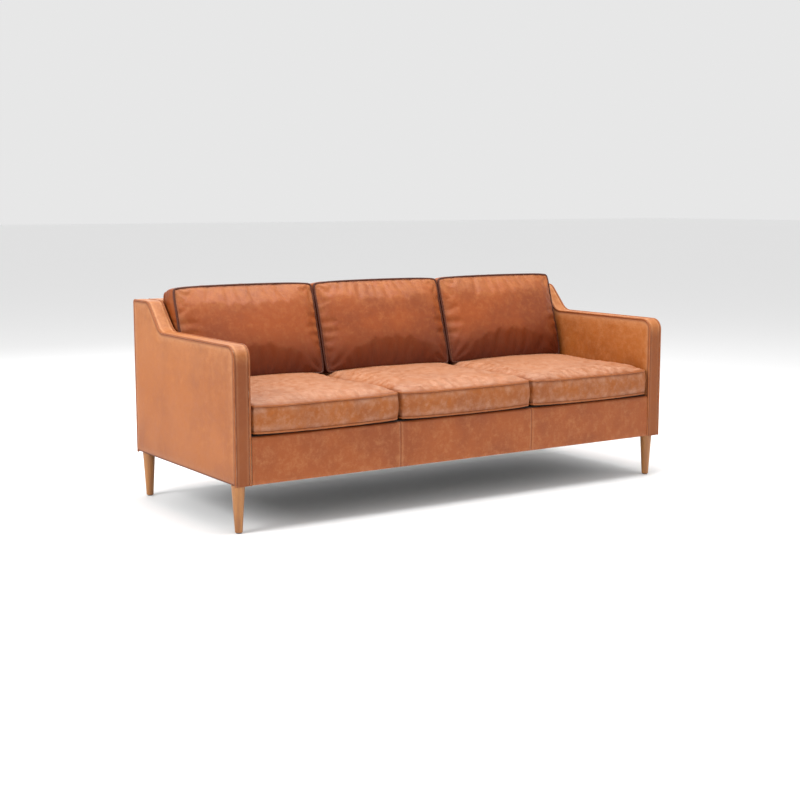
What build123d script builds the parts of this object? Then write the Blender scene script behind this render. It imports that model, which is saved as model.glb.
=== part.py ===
from build123d import *
import os
from math import atan2, cos, hypot, radians, sin, sqrt, tan

# Three-seat leather sofa on turned wooden legs, as an assembly of its real pieces.
#
# Units are millimetres. X runs along the sofa's length, Y from the front (-) to the back (+), Z up.
# The origin is on the floor, at the centre of the sofa's plan. Left is the -X end, as seen from the front.

# ---- driving dimensions of the whole sofa
WIDTH = 2057.0
DEPTH = 874.0
BODY_BOTTOM = 177.0
ARM_HEIGHT = 684.0
BACK_HEIGHT = 798.0
ARM_THICKNESS = 68.0
SEATS = 3

HALF_W = WIDTH / 2
HALF_D = DEPTH / 2
ARM_INNER_X = HALF_W - ARM_THICKNESS

# ---- side outline of an arm: a level arm, a scoop up at the back and a level shoulder
ARM_FRONT_RADIUS = 48.0
SCOOP_FOOT_Y = 190.0
SCOOP_FOOT_RADIUS = 70.0
SCOOP_HEAD_Y = 297.0
SCOOP_HEAD_RADIUS = 50.0
BACK_CORNER_RADIUS = 12.0

# ---- sheet goods and trim
LEATHER = 1.5
WELT_RADIUS = 3.5
WELT_PROUD = 1.5
FOAM_FACE = 8.0
FOAM_EDGE = 6.0
GAP = 0.3
SKIN_INSET = 2.0  # how far the arms' and the back's outside leather lies inside the overall size
PANEL_BOTTOM = 184.0

# ---- timber
TIMBER = 28.0
POST_DEPTH = 60.0
TIMBER_BOTTOM = 180.0
SEAT_RAIL_TOP = 336.0
ARM_RAIL_DEPTH = 40.0
TIMBER_INSET = 10.5

# ---- seat
FRONT_RAIL_FACE_Y = -HALF_D + 4.0
FRONT_RAIL_TOP = 352.0
DECK_FRONT_Y = -416.0
SPRING_RAIL_Y = 296.0
SPRING_WIRE_RADIUS = 1.9
SPRINGS_PER_SEAT = 4
SPRING_PITCH = 30.0
SPRING_HALF_WIDTH = 25.0

SEAT_GAP = 4.75
SEAT_WIDTH = (2 * ARM_INNER_X - (SEATS + 1) * SEAT_GAP) / SEATS
SEAT_FRONT_Y = -HALF_D
SEAT_BACK_Y = 268.0
SEAT_BOX_LOW = 366.0
SEAT_BOX_HIGH = 462.0
SEAT_CROWN_TOP = 36.0
SEAT_CROWN_BOTTOM = 9.0

# ---- back: its inside face leans, and the loose cushions rest against it
BACK_FOOT_Y = 275.0
BACK_FOOT_Z = 352.0
BACK_LEAN = 6.4
BACK_FOAM = 28.0
STRAP_THICKNESS = 1.2
ARM_SKIN_TUCK = 24.0  # how far the arms' inside leather runs on behind the back's face
CUSHION_HEAD_Z = 850.0
CUSHION_HEAD_BACK_Z = 832.0
CUSHION_HEAD_Y = 238.0
CUSHION_FOOT_Y = 128.0
CUSHION_REST_GAP = 2.0
CUSHION_CROWN = 34.0

# ---- legs
LEG_X = HALF_W - ARM_THICKNESS / 2
LEG_FRONT_Y = -392.0
LEG_BACK_Y = 395.0
LEG_TOP_RADIUS = 25.0
LEG_FOOT_RADIUS = 14.0
GLIDE_HEIGHT = 3.0
BOLT_RADIUS = 4.0
BOLT_LENGTH = 75.0
NUT_RADIUS = 5.5
NUT_BARREL = 12.0
NUT_FLANGE = 2.0
NUT_FLANGE_RADIUS = 11.0

# ---- zips
ZIP_HALF_LENGTH = 230.0
ZIP_CHAIN_WIDTH = 5.0
ZIP_CHAIN_PROUD = 1.4
SLIDER_LENGTH = 9.0

NUDGE = 0.05  # radial room between a bolt and its hole
SIDES = {"left": -1, "right": 1}
SEAT_NAMES = ("left", "centre", "right")
OUT = "parts"


def save(shape, name):
    """Writes one named piece, or group of like pieces, to its STEP file."""
    export_step(shape, os.path.join(OUT, f"{name}.step"))


def block(x, y, z):
    """A box from its three (low, high) spans."""
    size = [high - low for low, high in (x, y, z)]
    middle = [(low + high) / 2 for low, high in (x, y, z)]
    return Pos(*middle) * Box(*size)


def rod(x, y, z, radius):
    """A vertical cylinder over the span z."""
    return Pos(x, y, (z[0] + z[1]) / 2) * Cylinder(radius, z[1] - z[0])


def side_prism(points, x, radii=0):
    """A (y, z) outline with rounded corners, carried along X over the span x."""
    face = make_face(Plane.YZ * FilletPolyline(*points, radius=radii, close=True))
    return Pos(x[0], 0, 0) * extrude(face, x[1] - x[0], dir=(1, 0, 0))


def mirrored(side, shape):
    """A piece made for the right arm, or its mirror image for the left."""
    return shape if side > 0 else mirror(shape, about=Plane.YZ)


def group(shapes):
    """Separate solids that share one node."""
    return Compound(children=[s for shape in shapes for s in shape.solids()])


def meet(p, u, q, v):
    """The point where the line through p along u meets the line through q along v."""
    t = ((q[0] - p[0]) * v[1] - (q[1] - p[1]) * v[0]) / (u[0] * v[1] - u[1] * v[0])
    return (p[0] + t * u[0], p[1] + t * u[1])


# ---------------------------------------------------------------- arms


def arm_corners(inset, bottom):
    """The arm's side outline, moved inwards by inset, as corners and their radii."""
    raw = [
        (-HALF_D, bottom),
        (-HALF_D, ARM_HEIGHT),
        (SCOOP_FOOT_Y, ARM_HEIGHT),
        (SCOOP_HEAD_Y, BACK_HEIGHT),
        (HALF_D, BACK_HEIGHT),
        (HALF_D, bottom),
    ]
    radii = [0, ARM_FRONT_RADIUS, SCOOP_FOOT_RADIUS, SCOOP_HEAD_RADIUS, BACK_CORNER_RADIUS, 0]
    concave = 2
    lines = []
    for i, p in enumerate(raw):
        q = raw[(i + 1) % len(raw)]
        length = hypot(q[0] - p[0], q[1] - p[1])
        u = ((q[0] - p[0]) / length, (q[1] - p[1]) / length)
        shift = 0 if i == len(raw) - 1 else inset
        lines.append(((p[0] + u[1] * shift, p[1] - u[0] * shift), u))
    corners = [meet(*lines[i - 1], *lines[i]) for i in range(len(raw))]
    kept = [
        0 if r == 0 else (r + inset if i == concave else max(r - inset, 1.0))
        for i, r in enumerate(radii)
    ]
    return corners, kept


def arm_prism(inset, bottom, x):
    """The arm's outline as a solid over the span x."""
    corners, radii = arm_corners(inset, bottom)
    return side_prism(corners, x, radii)


def arm_band(outer, inner, x):
    """The part of an arm's rim that runs up the front, along the arm and over to the back welt."""
    below = BODY_BOTTOM - 100
    rim = arm_prism(outer, BODY_BOTTOM, x) - arm_prism(inner, below, x)
    return rim - block((x[0] - 1, x[1] + 1), (BACK_SEAM_Y, WIDTH), (below, WIDTH))


# The welt along the top of the back lies halfway round the rear corner of the arms' outline.
CORNER_REACH = BACK_CORNER_RADIUS - (BACK_CORNER_RADIUS - WELT_RADIUS) / sqrt(2)
BACK_WELT_Y = HALF_D - CORNER_REACH
BACK_WELT_Z = BACK_HEIGHT - CORNER_REACH
BACK_SEAM_Y = BACK_WELT_Y - WELT_RADIUS - GAP
BACK_SEAM_Z = BACK_WELT_Z - WELT_RADIUS - GAP


def welt_path(x, last):
    """A welt's centre line on an arm, ending at corner number last of the outline."""
    corners, radii = arm_corners(WELT_RADIUS, BODY_BOTTOM)
    points = [(x, y, z) for y, z in corners[: last + 1]]
    return FilletPolyline(*points, radius=radii[1:last])


def tube(path, radius):
    """A round section carried along a path."""
    start = Plane(origin=path @ 0, z_dir=path % 0)
    return sweep(start * Circle(radius), path=path)


def make_arm(side, name):
    """Leather, welts, foam and timber of one arm."""
    panel_inset = 2 * WELT_RADIUS + GAP
    band_x = (ARM_INNER_X + panel_inset, HALF_W - panel_inset)
    skin_out = HALF_W - SKIN_INSET
    skin_in = ARM_INNER_X + SKIN_INSET
    foam_out, foam_in = skin_out - LEATHER, skin_in + LEATHER
    inside_low = FRONT_RAIL_TOP - 12
    behind_back = leaning_slab(ARM_SKIN_TUCK, DEPTH, (0, WIDTH), (0, WIDTH))

    outside = arm_prism(panel_inset, PANEL_BOTTOM, (foam_out, skin_out))
    inside = arm_prism(panel_inset, inside_low, (skin_in, foam_in)) - behind_back
    boxing = arm_band(WELT_PROUD, WELT_PROUD + LEATHER, band_x)
    save(mirrored(side, outside), f"{name}_arm_outside_panel")
    save(mirrored(side, inside), f"{name}_arm_inside_panel")
    save(mirrored(side, boxing), f"{name}_arm_boxing")

    outer_welt = tube(welt_path(HALF_W - WELT_RADIUS, 5), WELT_RADIUS)
    inner_welt = tube(welt_path(ARM_INNER_X + WELT_RADIUS, 4), WELT_RADIUS)
    inner_welt -= block((0, WIDTH), (BACK_SEAM_Y, WIDTH), (0, WIDTH))
    save(mirrored(side, group([outer_welt, inner_welt])), f"{name}_arm_welts")

    outer_foam = arm_prism(TIMBER_INSET, PANEL_BOTTOM, (foam_out - FOAM_FACE, foam_out))
    inner_foam = arm_prism(TIMBER_INSET, inside_low, (foam_in, foam_in + FOAM_FACE)) - behind_back
    edge_low = WELT_PROUD + LEATHER
    edge_foam = arm_band(edge_low, edge_low + FOAM_EDGE, band_x)
    save(mirrored(side, group([outer_foam, inner_foam, edge_foam])), f"{name}_arm_padding")

    whole = arm_prism(TIMBER_INSET, BODY_BOTTOM, TIMBER_X)
    rail = whole - arm_prism(TIMBER_INSET + ARM_RAIL_DEPTH, 0, TIMBER_X)
    rail -= block(TIMBER_X, (-HALF_D, HALF_D), (0, ARM_RAIL_UNDER))
    rail -= block(TIMBER_X, (BACK_TIMBER_Y - POST_DEPTH, HALF_D), (0, SHOULDER_UNDER))
    save(mirrored(side, rail.solids().sort_by(SortBy.VOLUME)[-1]), f"{name}_arm_rail")

    side_y = (ARM_TIMBER_Y + POST_DEPTH, BACK_TIMBER_Y - POST_DEPTH)
    side_rail = block((TIMBER_END_X, TIMBER_END_X + TIMBER), side_y, (TIMBER_BOTTOM, SEAT_RAIL_TOP))
    save(mirrored(side, side_rail), f"{name}_side_rail")


def make_posts():
    """The arms' front and rear posts, bored for the legs' nuts and bolts."""
    nut_top = TIMBER_BOTTOM + NUT_BARREL
    bolt_top = TIMBER_BOTTOM + BOLT_LENGTH / 2 + 4
    places = {
        "front": (ARM_TIMBER_Y, LEG_FRONT_Y, ARM_RAIL_UNDER),
        "rear": (BACK_TIMBER_Y - POST_DEPTH, LEG_BACK_Y, SHOULDER_UNDER),
    }
    for name, (y, leg_y, top) in places.items():
        post = block(TIMBER_X, (y, y + POST_DEPTH), (TIMBER_BOTTOM, top))
        post -= rod(LEG_X, leg_y, (TIMBER_BOTTOM, nut_top), NUT_RADIUS + NUDGE)
        post -= rod(LEG_X, leg_y, (TIMBER_BOTTOM, bolt_top), BOLT_RADIUS + NUDGE)
        save(group([mirrored(side, post) for side in SIDES.values()]), f"{name}_posts")


# ---------------------------------------------------------------- seat frame

TIMBER_END_X = ARM_INNER_X + SKIN_INSET + LEATHER + FOAM_FACE  # inner face of the arms' posts
TIMBER_X = (TIMBER_END_X, HALF_W - SKIN_INSET - LEATHER - FOAM_FACE)
ARM_TIMBER_Y = -HALF_D + TIMBER_INSET
BACK_TIMBER_Y = HALF_D - TIMBER_INSET
ARM_RAIL_UNDER = ARM_HEIGHT - TIMBER_INSET - ARM_RAIL_DEPTH
SHOULDER_UNDER = BACK_HEIGHT - TIMBER_INSET - ARM_RAIL_DEPTH
RAIL_FOAM = 5.0
FRONT_TIMBER_Y = FRONT_RAIL_FACE_Y + LEATHER + RAIL_FOAM
STRETCHER_TOP = 232.0


def make_seat_frame():
    """Front, back and spring rails, stretchers and corner blocks."""
    span = (-TIMBER_END_X, TIMBER_END_X)
    tall = (TIMBER_BOTTOM, SEAT_RAIL_TOP)
    save(block(span, (FRONT_TIMBER_Y, FRONT_TIMBER_Y + TIMBER), tall), "front_rail")
    save(block(span, (BACK_TIMBER_Y - TIMBER, BACK_TIMBER_Y), tall), "back_rail")
    spring_rail_z = (STRETCHER_TOP, SEAT_RAIL_TOP)
    save(block(span, (SPRING_RAIL_Y, SPRING_RAIL_Y + TIMBER), spring_rail_z), "spring_rail")

    stretcher_y = (FRONT_TIMBER_Y + TIMBER, BACK_TIMBER_Y - TIMBER)
    stretchers = [
        block((x - TIMBER / 2, x + TIMBER / 2), stretcher_y, (TIMBER_BOTTOM, STRETCHER_TOP))
        for x in seam_positions()
    ]
    save(group(stretchers), "seat_stretchers")

    blocks = []
    for side in SIDES.values():
        for y, way in ((stretcher_y[0], 1), (stretcher_y[1], -1)):
            blocks.append(corner_block(side * TIMBER_END_X, y, -side, way))
    save(group(blocks), "corner_blocks")


def corner_block(x, y, x_way, y_way):
    """A triangular block glued and screwed into an inside corner of the seat frame."""
    leg, low, high = 78.0, TIMBER_BOTTOM + 2, TIMBER_BOTTOM + 52
    corner = Polyline((x, y), (x + x_way * leg, y), (x, y + y_way * leg), close=True)
    return Pos(0, 0, low) * extrude(make_face(corner), high - low, dir=(0, 0, 1))


def seam_positions():
    """The X of the joins between neighbouring seats."""
    pitch = SEAT_WIDTH + SEAT_GAP
    return [pitch * (i - SEATS / 2) for i in range(1, SEATS)]


def seat_centres():
    """The X of each seat's middle, from left to right."""
    pitch = SEAT_WIDTH + SEAT_GAP
    return [pitch * (i - (SEATS - 1) / 2) for i in range(SEATS)]


def spring_positions():
    """The X of every spring."""
    step = SEAT_WIDTH / SPRINGS_PER_SEAT
    return [
        x + step * (i - (SPRINGS_PER_SEAT - 1) / 2)
        for x in seat_centres()
        for i in range(SPRINGS_PER_SEAT)
    ]


CLIP_THICKNESS = 1.2
SPRING_Z = SEAT_RAIL_TOP + CLIP_THICKNESS + GAP + SPRING_WIRE_RADIUS
SPRING_FRONT_Y = FRONT_TIMBER_Y + TIMBER - 6.0
SPRING_BACK_Y = SPRING_RAIL_Y + 6.0


def sinuous_spring():
    """One flat serpentine spring at x = 0: straight runs across, joined by half circles."""
    runs = 2 * round((SPRING_BACK_Y - SPRING_FRONT_Y) / SPRING_PITCH / 2)
    step = (SPRING_BACK_Y - SPRING_FRONT_Y) / runs
    straight = SPRING_HALF_WIDTH - step / 2
    edges = []
    for i in range(runs + 1):
        y = SPRING_FRONT_Y + i * step
        way = 1 if i % 2 == 0 else -1
        edges.append(Line((-way * straight, y, SPRING_Z), (way * straight, y, SPRING_Z)))
        if i < runs:
            turn = (way * straight, y, SPRING_Z)
            bulge = (way * SPRING_HALF_WIDTH, y + step / 2, SPRING_Z)
            edges.append(ThreePointArc(turn, bulge, (way * straight, y + step, SPRING_Z)))
    return tube(Wire(edges), SPRING_WIRE_RADIUS)


def spring_clip(y, way):
    """A steel clip on a rail's top, with a curl over the spring's end run; its plate lies way of it."""
    width, plate_length = 18.0, 10.0
    inside = SPRING_WIRE_RADIUS + GAP
    outside = inside + CLIP_THICKNESS
    ring = Circle(outside) - Circle(inside)
    open_side = Pos(-way * outside, -outside) * Rectangle(2 * outside, 2 * outside)
    curl = extrude(Plane.YZ * (ring - open_side), width / 2, both=True, dir=(1, 0, 0))
    curl = Pos(0, y, SPRING_Z) * curl
    plate_z = (SEAT_RAIL_TOP, SEAT_RAIL_TOP + CLIP_THICKNESS)
    plate = block((-width / 2, width / 2), sorted((y, y + way * plate_length)), plate_z)
    return plate + curl


def make_suspension():
    """Springs, their clips, the tie wires across them and the deck over them."""
    spring = sinuous_spring()
    xs = spring_positions()
    save(group([Pos(x, 0, 0) * spring for x in xs]), "seat_springs")
    clips = [spring_clip(SPRING_FRONT_Y, -1), spring_clip(SPRING_BACK_Y, 1)]
    save(group([Pos(x, 0, 0) * clip for x in xs for clip in clips]), "spring_clips")

    tie_radius = 1.5
    tie = Pos(0, 0, SEAT_RAIL_TOP - tie_radius) * Rot(0, 90, 0) * Cylinder(tie_radius, 2 * TIMBER_END_X)
    save(group([Pos(0, y, 0) * tie for y in (-190.0, 60.0)]), "spring_tie_wires")

    deck_z = (SPRING_Z + SPRING_WIRE_RADIUS + 2.2, FRONT_RAIL_TOP + 2.5)
    deck_y = (DECK_FRONT_Y, BACK_FOOT_Y - GAP)
    save(block((-ARM_INNER_X + 1, ARM_INNER_X - 1), deck_y, deck_z), "seat_deck")


def make_front_rail_cover():
    """The foam over the front rail and the leather stretched over it, front, top and underneath."""
    x = (-ARM_INNER_X + 1.5, ARM_INNER_X - 1.5)
    face, top, bottom = FRONT_RAIL_FACE_Y, FRONT_RAIL_TOP, BODY_BOTTOM
    back = DECK_FRONT_Y - GAP
    whole = side_prism(
        [(face, bottom), (face, top), (back, top), (back, bottom)], x, [2, 9, 0, 0]
    )
    hollow = side_prism(
        [(face + LEATHER, bottom + LEATHER), (face + LEATHER, top - LEATHER),
         (back + 5, top - LEATHER), (back + 5, bottom + LEATHER)],
        (x[0] - 1, x[1] + 1), [0.5, 7.5, 0, 0],
    )
    save(whole - hollow, "front_rail_cover")

    timber = block((-WIDTH, WIDTH), (FRONT_TIMBER_Y, 0), (0, SEAT_RAIL_TOP))
    foam = side_prism(
        [(face + LEATHER, TIMBER_BOTTOM), (face + LEATHER, top - LEATHER),
         (back, top - LEATHER), (back, TIMBER_BOTTOM)],
        x, [0, 7.5, 0, 0],
    )
    save(foam - timber, "front_rail_padding")


# ---------------------------------------------------------------- back


def back_line(z, set_back=0.0):
    """The Y of the leaning inside face at height z, or of a plane set back behind it."""
    return BACK_FOOT_Y + (z - BACK_FOOT_Z) * tan(radians(BACK_LEAN)) + set_back / cos(radians(BACK_LEAN))


def leaning_slab(front, back, z, x):
    """A slab parallel to the leaning back, between two set-back planes."""
    low, high = z
    points = [
        (back_line(low, front), low),
        (back_line(high, front), high),
        (back_line(high, back), high),
        (back_line(low, back), low),
    ]
    return side_prism(points, x)


def make_back():
    """Leather, padding, webbing and timber of the fixed back."""
    x = (-ARM_INNER_X + 1.5, ARM_INNER_X - 1.5)
    top = BACK_HEIGHT - WELT_PROUD
    head_round = 14.0
    outline = [
        (back_line(BACK_FOOT_Z), BACK_FOOT_Z),
        (back_line(top), top),
        (BACK_SEAM_Y, top),
        (BACK_SEAM_Y, BACK_FOOT_Z),
    ]
    hollow = [
        (back_line(BACK_FOOT_Z - 1, LEATHER), BACK_FOOT_Z - 1),
        (back_line(top - LEATHER, LEATHER), top - LEATHER),
        (HALF_D, top - LEATHER),
        (HALF_D, BACK_FOOT_Z - 1),
    ]
    cover = side_prism(outline, x, [0, head_round, 0, 0])
    cover -= side_prism(hollow, (x[0] - 1, x[1] + 1), [0, head_round - LEATHER, 0, 0])
    save(cover, "inside_back_cover")

    rail_top = top - LEATHER - 9.0
    rail_bottom = rail_top - TIMBER
    timber_set_back = BACK_FOAM + 2 * STRAP_THICKNESS + 3 * GAP
    slab = leaning_slab(LEATHER + GAP, BACK_FOAM, (BACK_FOOT_Z, rail_top - 6), x)
    pad_front = back_line(rail_top, BACK_FOAM) - 12
    top_pad = block(x, (pad_front, BACK_TIMBER_Y), (rail_top, top - LEATHER - GAP))
    save(group([slab, top_pad]), "back_padding")

    span = (-TIMBER_END_X, TIMBER_END_X)
    rail_front = back_line(rail_top, timber_set_back)
    save(block(span, (rail_front, BACK_TIMBER_Y), (rail_bottom, rail_top)), "back_top_rail")

    upright = side_prism(
        [
            (back_line(SEAT_RAIL_TOP, timber_set_back), SEAT_RAIL_TOP),
            (back_line(rail_bottom, timber_set_back), rail_bottom),
            (BACK_TIMBER_Y, rail_bottom),
            (BACK_TIMBER_Y, SEAT_RAIL_TOP),
        ],
        (-TIMBER / 2, TIMBER / 2),
    )
    end_x = TIMBER_END_X - TIMBER / 2
    places = [-end_x, *seam_positions(), end_x]
    save(group([Pos(place, 0, 0) * upright for place in places]), "back_uprights")
    make_webbing(rail_bottom + 20)

    panel_x = HALF_W - 2 * WELT_RADIUS - GAP
    skin_y = HALF_D - SKIN_INSET
    outside = block((-panel_x, panel_x), (skin_y - LEATHER, skin_y), (BODY_BOTTOM + 2, BACK_SEAM_Z))
    save(outside, "outside_back_panel")
    welt = Pos(0, BACK_WELT_Y, BACK_WELT_Z) * Rot(0, 90, 0) * Cylinder(WELT_RADIUS, 2 * panel_x)
    save(welt, "back_top_welt")


def make_webbing(high):
    """Elastic straps: four across, and three upright to each seat behind them."""
    strap = 50.0
    front = BACK_FOAM + GAP
    across = [
        leaning_slab(front, front + STRAP_THICKNESS, (z, z + strap), (-TIMBER_END_X, TIMBER_END_X))
        for z in (410.0, 505.0, 600.0, 695.0)
    ]
    rear = front + STRAP_THICKNESS + GAP
    step = SEAT_WIDTH / 4
    uprights = [
        leaning_slab(rear, rear + STRAP_THICKNESS, (SEAT_RAIL_TOP, high), (x - strap / 2, x + strap / 2))
        for seat in seat_centres()
        for x in (seat - step, seat, seat + step)
    ]
    save(group(uprights + across), "back_webbing")


def make_dust_cover():
    """Cloth stapled under the frame, cut round the legs."""
    cloth = block((-HALF_W + 12, HALF_W - 12), (-HALF_D + 32, HALF_D - 8), (178.4, 179.4))
    for side in SIDES.values():
        for y in (LEG_FRONT_Y, LEG_BACK_Y):
            cloth -= rod(side * LEG_X, y, (170, 190), LEG_TOP_RADIUS + 2)
    save(cloth, "dust_cover")


# ---------------------------------------------------------------- legs


def make_legs():
    """Tapered legs with their hanger bolts, tee nuts and glides."""
    top = TIMBER_BOTTOM - NUT_FLANGE - 0.2
    bolts, nuts, glides = [], [], []
    for side_name, side in SIDES.items():
        for place, y in (("front", LEG_FRONT_Y), ("rear", LEG_BACK_Y)):
            x = side * LEG_X
            leg = Pos(x, y, (GLIDE_HEIGHT + top) / 2) * Cone(
                LEG_FOOT_RADIUS, LEG_TOP_RADIUS, top - GLIDE_HEIGHT
            )
            leg = fillet(leg.edges().group_by(Axis.Z)[0], 2.5)
            bolt_low = top - BOLT_LENGTH / 2
            leg -= rod(x, y, (bolt_low - 1, top + 1), BOLT_RADIUS + NUDGE)
            save(leg, f"{side_name}_{place}_leg")

            bolts.append(rod(x, y, (bolt_low, bolt_low + BOLT_LENGTH), BOLT_RADIUS))
            flange = rod(x, y, (TIMBER_BOTTOM - NUT_FLANGE, TIMBER_BOTTOM), NUT_FLANGE_RADIUS)
            barrel = rod(x, y, (TIMBER_BOTTOM, TIMBER_BOTTOM + NUT_BARREL), NUT_RADIUS)
            hole = rod(x, y, (TIMBER_BOTTOM - 5, TIMBER_BOTTOM + 20), BOLT_RADIUS + NUDGE)
            nuts.append(flange + barrel - hole)
            glides.append(rod(x, y, (0, GLIDE_HEIGHT), LEG_FOOT_RADIUS - 3.5))
    save(group(bolts), "hanger_bolts")
    save(group(nuts), "tee_nuts")
    save(group(glides), "leg_glides")


# ---------------------------------------------------------------- cushions


def crowned(length, low, high, crown_low, crown_high):
    """A flat outline of the given length whose top and bottom edges swell into arcs."""
    half = length / 2
    edges = [
        ThreePointArc((-half, low), (0, low - crown_low), (half, low)),
        Line((half, low), (half, high)),
        ThreePointArc((half, high), (0, high + crown_high), (-half, high)),
        Line((-half, high), (-half, low)),
    ]
    return make_face(edges)


def seat_block(inset):
    """A seat cushion's body at x = 0: an outline crowned from front to back, moved in by inset."""
    outline = crowned(
        SEAT_BACK_Y - SEAT_FRONT_Y - 2 * inset,
        SEAT_BOX_LOW + inset,
        SEAT_BOX_HIGH - inset,
        SEAT_CROWN_BOTTOM,
        SEAT_CROWN_TOP,
    )
    body = extrude(Plane.YZ * outline, SEAT_WIDTH / 2 - inset, both=True, dir=(1, 0, 0))
    return Pos(0, (SEAT_BACK_Y + SEAT_FRONT_Y) / 2, 0) * body


def zip_chain(axis_z):
    """A zip's chain along X, standing proud of the face that lies in the XY plane at z = 0."""
    half = ZIP_CHAIN_WIDTH / 2
    return axis_z * block((-ZIP_HALF_LENGTH, ZIP_HALF_LENGTH), (-half, half), (0, ZIP_CHAIN_PROUD))


def zip_slider(axis_z):
    """A slider that straddles the chain, with a pull tab; it stands at the chain's closed end."""
    half = ZIP_CHAIN_WIDTH / 2 + 0.15
    roof = ZIP_CHAIN_PROUD + 0.15
    centre = -ZIP_HALF_LENGTH + SLIDER_LENGTH / 2
    x = (centre - SLIDER_LENGTH / 2, centre + SLIDER_LENGTH / 2)
    body = block(x, (-half - 1, half + 1), (0.1, roof + 1))
    body -= block((x[0] - 1, x[1] + 1), (-half, half), (0, roof))
    tab = block((centre - 3, centre + 3), (-26, -half - 0.6), (roof + 0.2, roof + 1.0))
    neck = block((centre - 2, centre + 2), (-half - 0.6, half), (roof + 0.2, roof + 1.0))
    eye = Pos(centre, -21, roof) * Cylinder(1.4, 6)
    return axis_z * (body + neck + tab - eye)


def make_seat_cushions():
    """Loose seat cushions: leather cover with its zip chain, foam core and zip slider."""
    cover = seat_block(0) - seat_block(LEATHER)
    core = seat_block(LEATHER + GAP)
    face = Plane(
        origin=(0, SEAT_BACK_Y, (SEAT_BOX_LOW + SEAT_BOX_HIGH) / 2), x_dir=(-1, 0, 0), z_dir=(0, 1, 0)
    )
    place = face.location
    for name, x in zip(SEAT_NAMES, seat_centres()):
        save(Pos(x, 0, 0) * group([cover, zip_chain(place)]), f"seat_cushion_{name}_cover")
        save(Pos(x, 0, 0) * core, f"seat_cushion_{name}_core")
        save(Pos(x, 0, 0) * zip_slider(place), f"seat_cushion_{name}_zip_slider")


def seat_top(y, room):
    """The height of a seat cushion's crown line over y, plus room."""
    depth = SEAT_BACK_Y - SEAT_FRONT_Y
    middle = (SEAT_BACK_Y + SEAT_FRONT_Y) / 2
    radius = (depth**2 / 4 + SEAT_CROWN_TOP**2) / (2 * SEAT_CROWN_TOP)
    drop = radius - sqrt(radius**2 - (y - middle) ** 2)
    return SEAT_BOX_HIGH + SEAT_CROWN_TOP - drop + room


CUSHION_SEAT_ROOM = 5.0


def cushion_corners(inset):
    """A back cushion's side outline, moved in by inset, from its front foot round to its back foot."""
    rear = -CUSHION_REST_GAP - inset
    foot_front = (CUSHION_FOOT_Y + inset, seat_top(CUSHION_FOOT_Y, CUSHION_SEAT_ROOM) + inset)
    head_front = (CUSHION_HEAD_Y + inset, CUSHION_HEAD_Z - inset)
    head_z = CUSHION_HEAD_BACK_Z - inset
    head_back = (back_line(head_z, rear), head_z)
    foot_z = seat_top(SEAT_BACK_Y - 6, CUSHION_SEAT_ROOM) + inset
    foot_back = (back_line(foot_z, rear), foot_z)
    return foot_front, head_front, head_back, foot_back


def cushion_block(inset):
    """A back cushion's body at x = 0: a wedge outline with a swelling front, crowned in front view."""
    foot_front, head_front, head_back, foot_back = cushion_corners(inset)
    middle = [(a + b) / 2 for a, b in zip(foot_front, head_front)]
    length = hypot(head_front[0] - foot_front[0], head_front[1] - foot_front[1])
    out = ((head_front[1] - foot_front[1]) / length, (head_front[0] - foot_front[0]) / length)
    swell = (middle[0] - out[0] * CUSHION_CROWN, middle[1] + out[1] * CUSHION_CROWN)
    outline = make_face(
        [
            ThreePointArc(foot_front, swell, head_front),
            Line(head_front, head_back),
            Line(head_back, foot_back),
            Line(foot_back, foot_front),
        ]
    )
    width = SEAT_WIDTH - 2 * inset
    wedge = extrude(Plane.YZ * outline, width / 2, both=True, dir=(1, 0, 0))
    half, deep = width / 2, HALF_D
    nose = swell[0]
    plan = make_face(
        [
            ThreePointArc((-half, CUSHION_FOOT_Y + inset), (0, nose), (half, CUSHION_FOOT_Y + inset)),
            Line((half, CUSHION_FOOT_Y + inset), (half, deep)),
            Line((half, deep), (-half, deep)),
            Line((-half, deep), (-half, CUSHION_FOOT_Y + inset)),
        ]
    )
    swept = extrude(plan, 2 * BACK_HEIGHT, dir=(0, 0, 1))
    return wedge & swept


def make_back_cushions():
    """Loose back cushions: leather cover with its zip chain, filling and zip slider."""
    cover = cushion_block(0) - cushion_block(LEATHER)
    insert = cushion_block(LEATHER + GAP)
    foot_front, _, _, foot_back = cushion_corners(0)
    tilt = atan2(foot_front[1] - foot_back[1], foot_back[0] - foot_front[0])
    middle = [(a + b) / 2 for a, b in zip(foot_front, foot_back)]
    face = Plane(origin=(0, *middle), x_dir=(1, 0, 0), z_dir=(0, -sin(tilt), -cos(tilt)))
    place = face.location
    for name, x in zip(SEAT_NAMES, seat_centres()):
        save(Pos(x, 0, 0) * group([cover, zip_chain(place)]), f"back_cushion_{name}_cover")
        save(Pos(x, 0, 0) * insert, f"back_cushion_{name}_insert")
        save(Pos(x, 0, 0) * zip_slider(place), f"back_cushion_{name}_zip_slider")


def main():
    """Builds every piece of the sofa."""
    os.makedirs(OUT, exist_ok=True)
    for name, side in SIDES.items():
        make_arm(side, name)
    make_posts()
    make_seat_frame()
    make_suspension()
    make_front_rail_cover()
    make_back()
    make_dust_cover()
    make_legs()
    make_seat_cushions()
    make_back_cushions()


main()
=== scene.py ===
"""Looks of a three-seat leather sofa on turned wooden legs.

Metres; X along the sofa, Y from the front to the back, Z up, the floor at z = 0.
"""

import logging
import math
from dataclasses import dataclass, field
from enum import Enum

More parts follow.
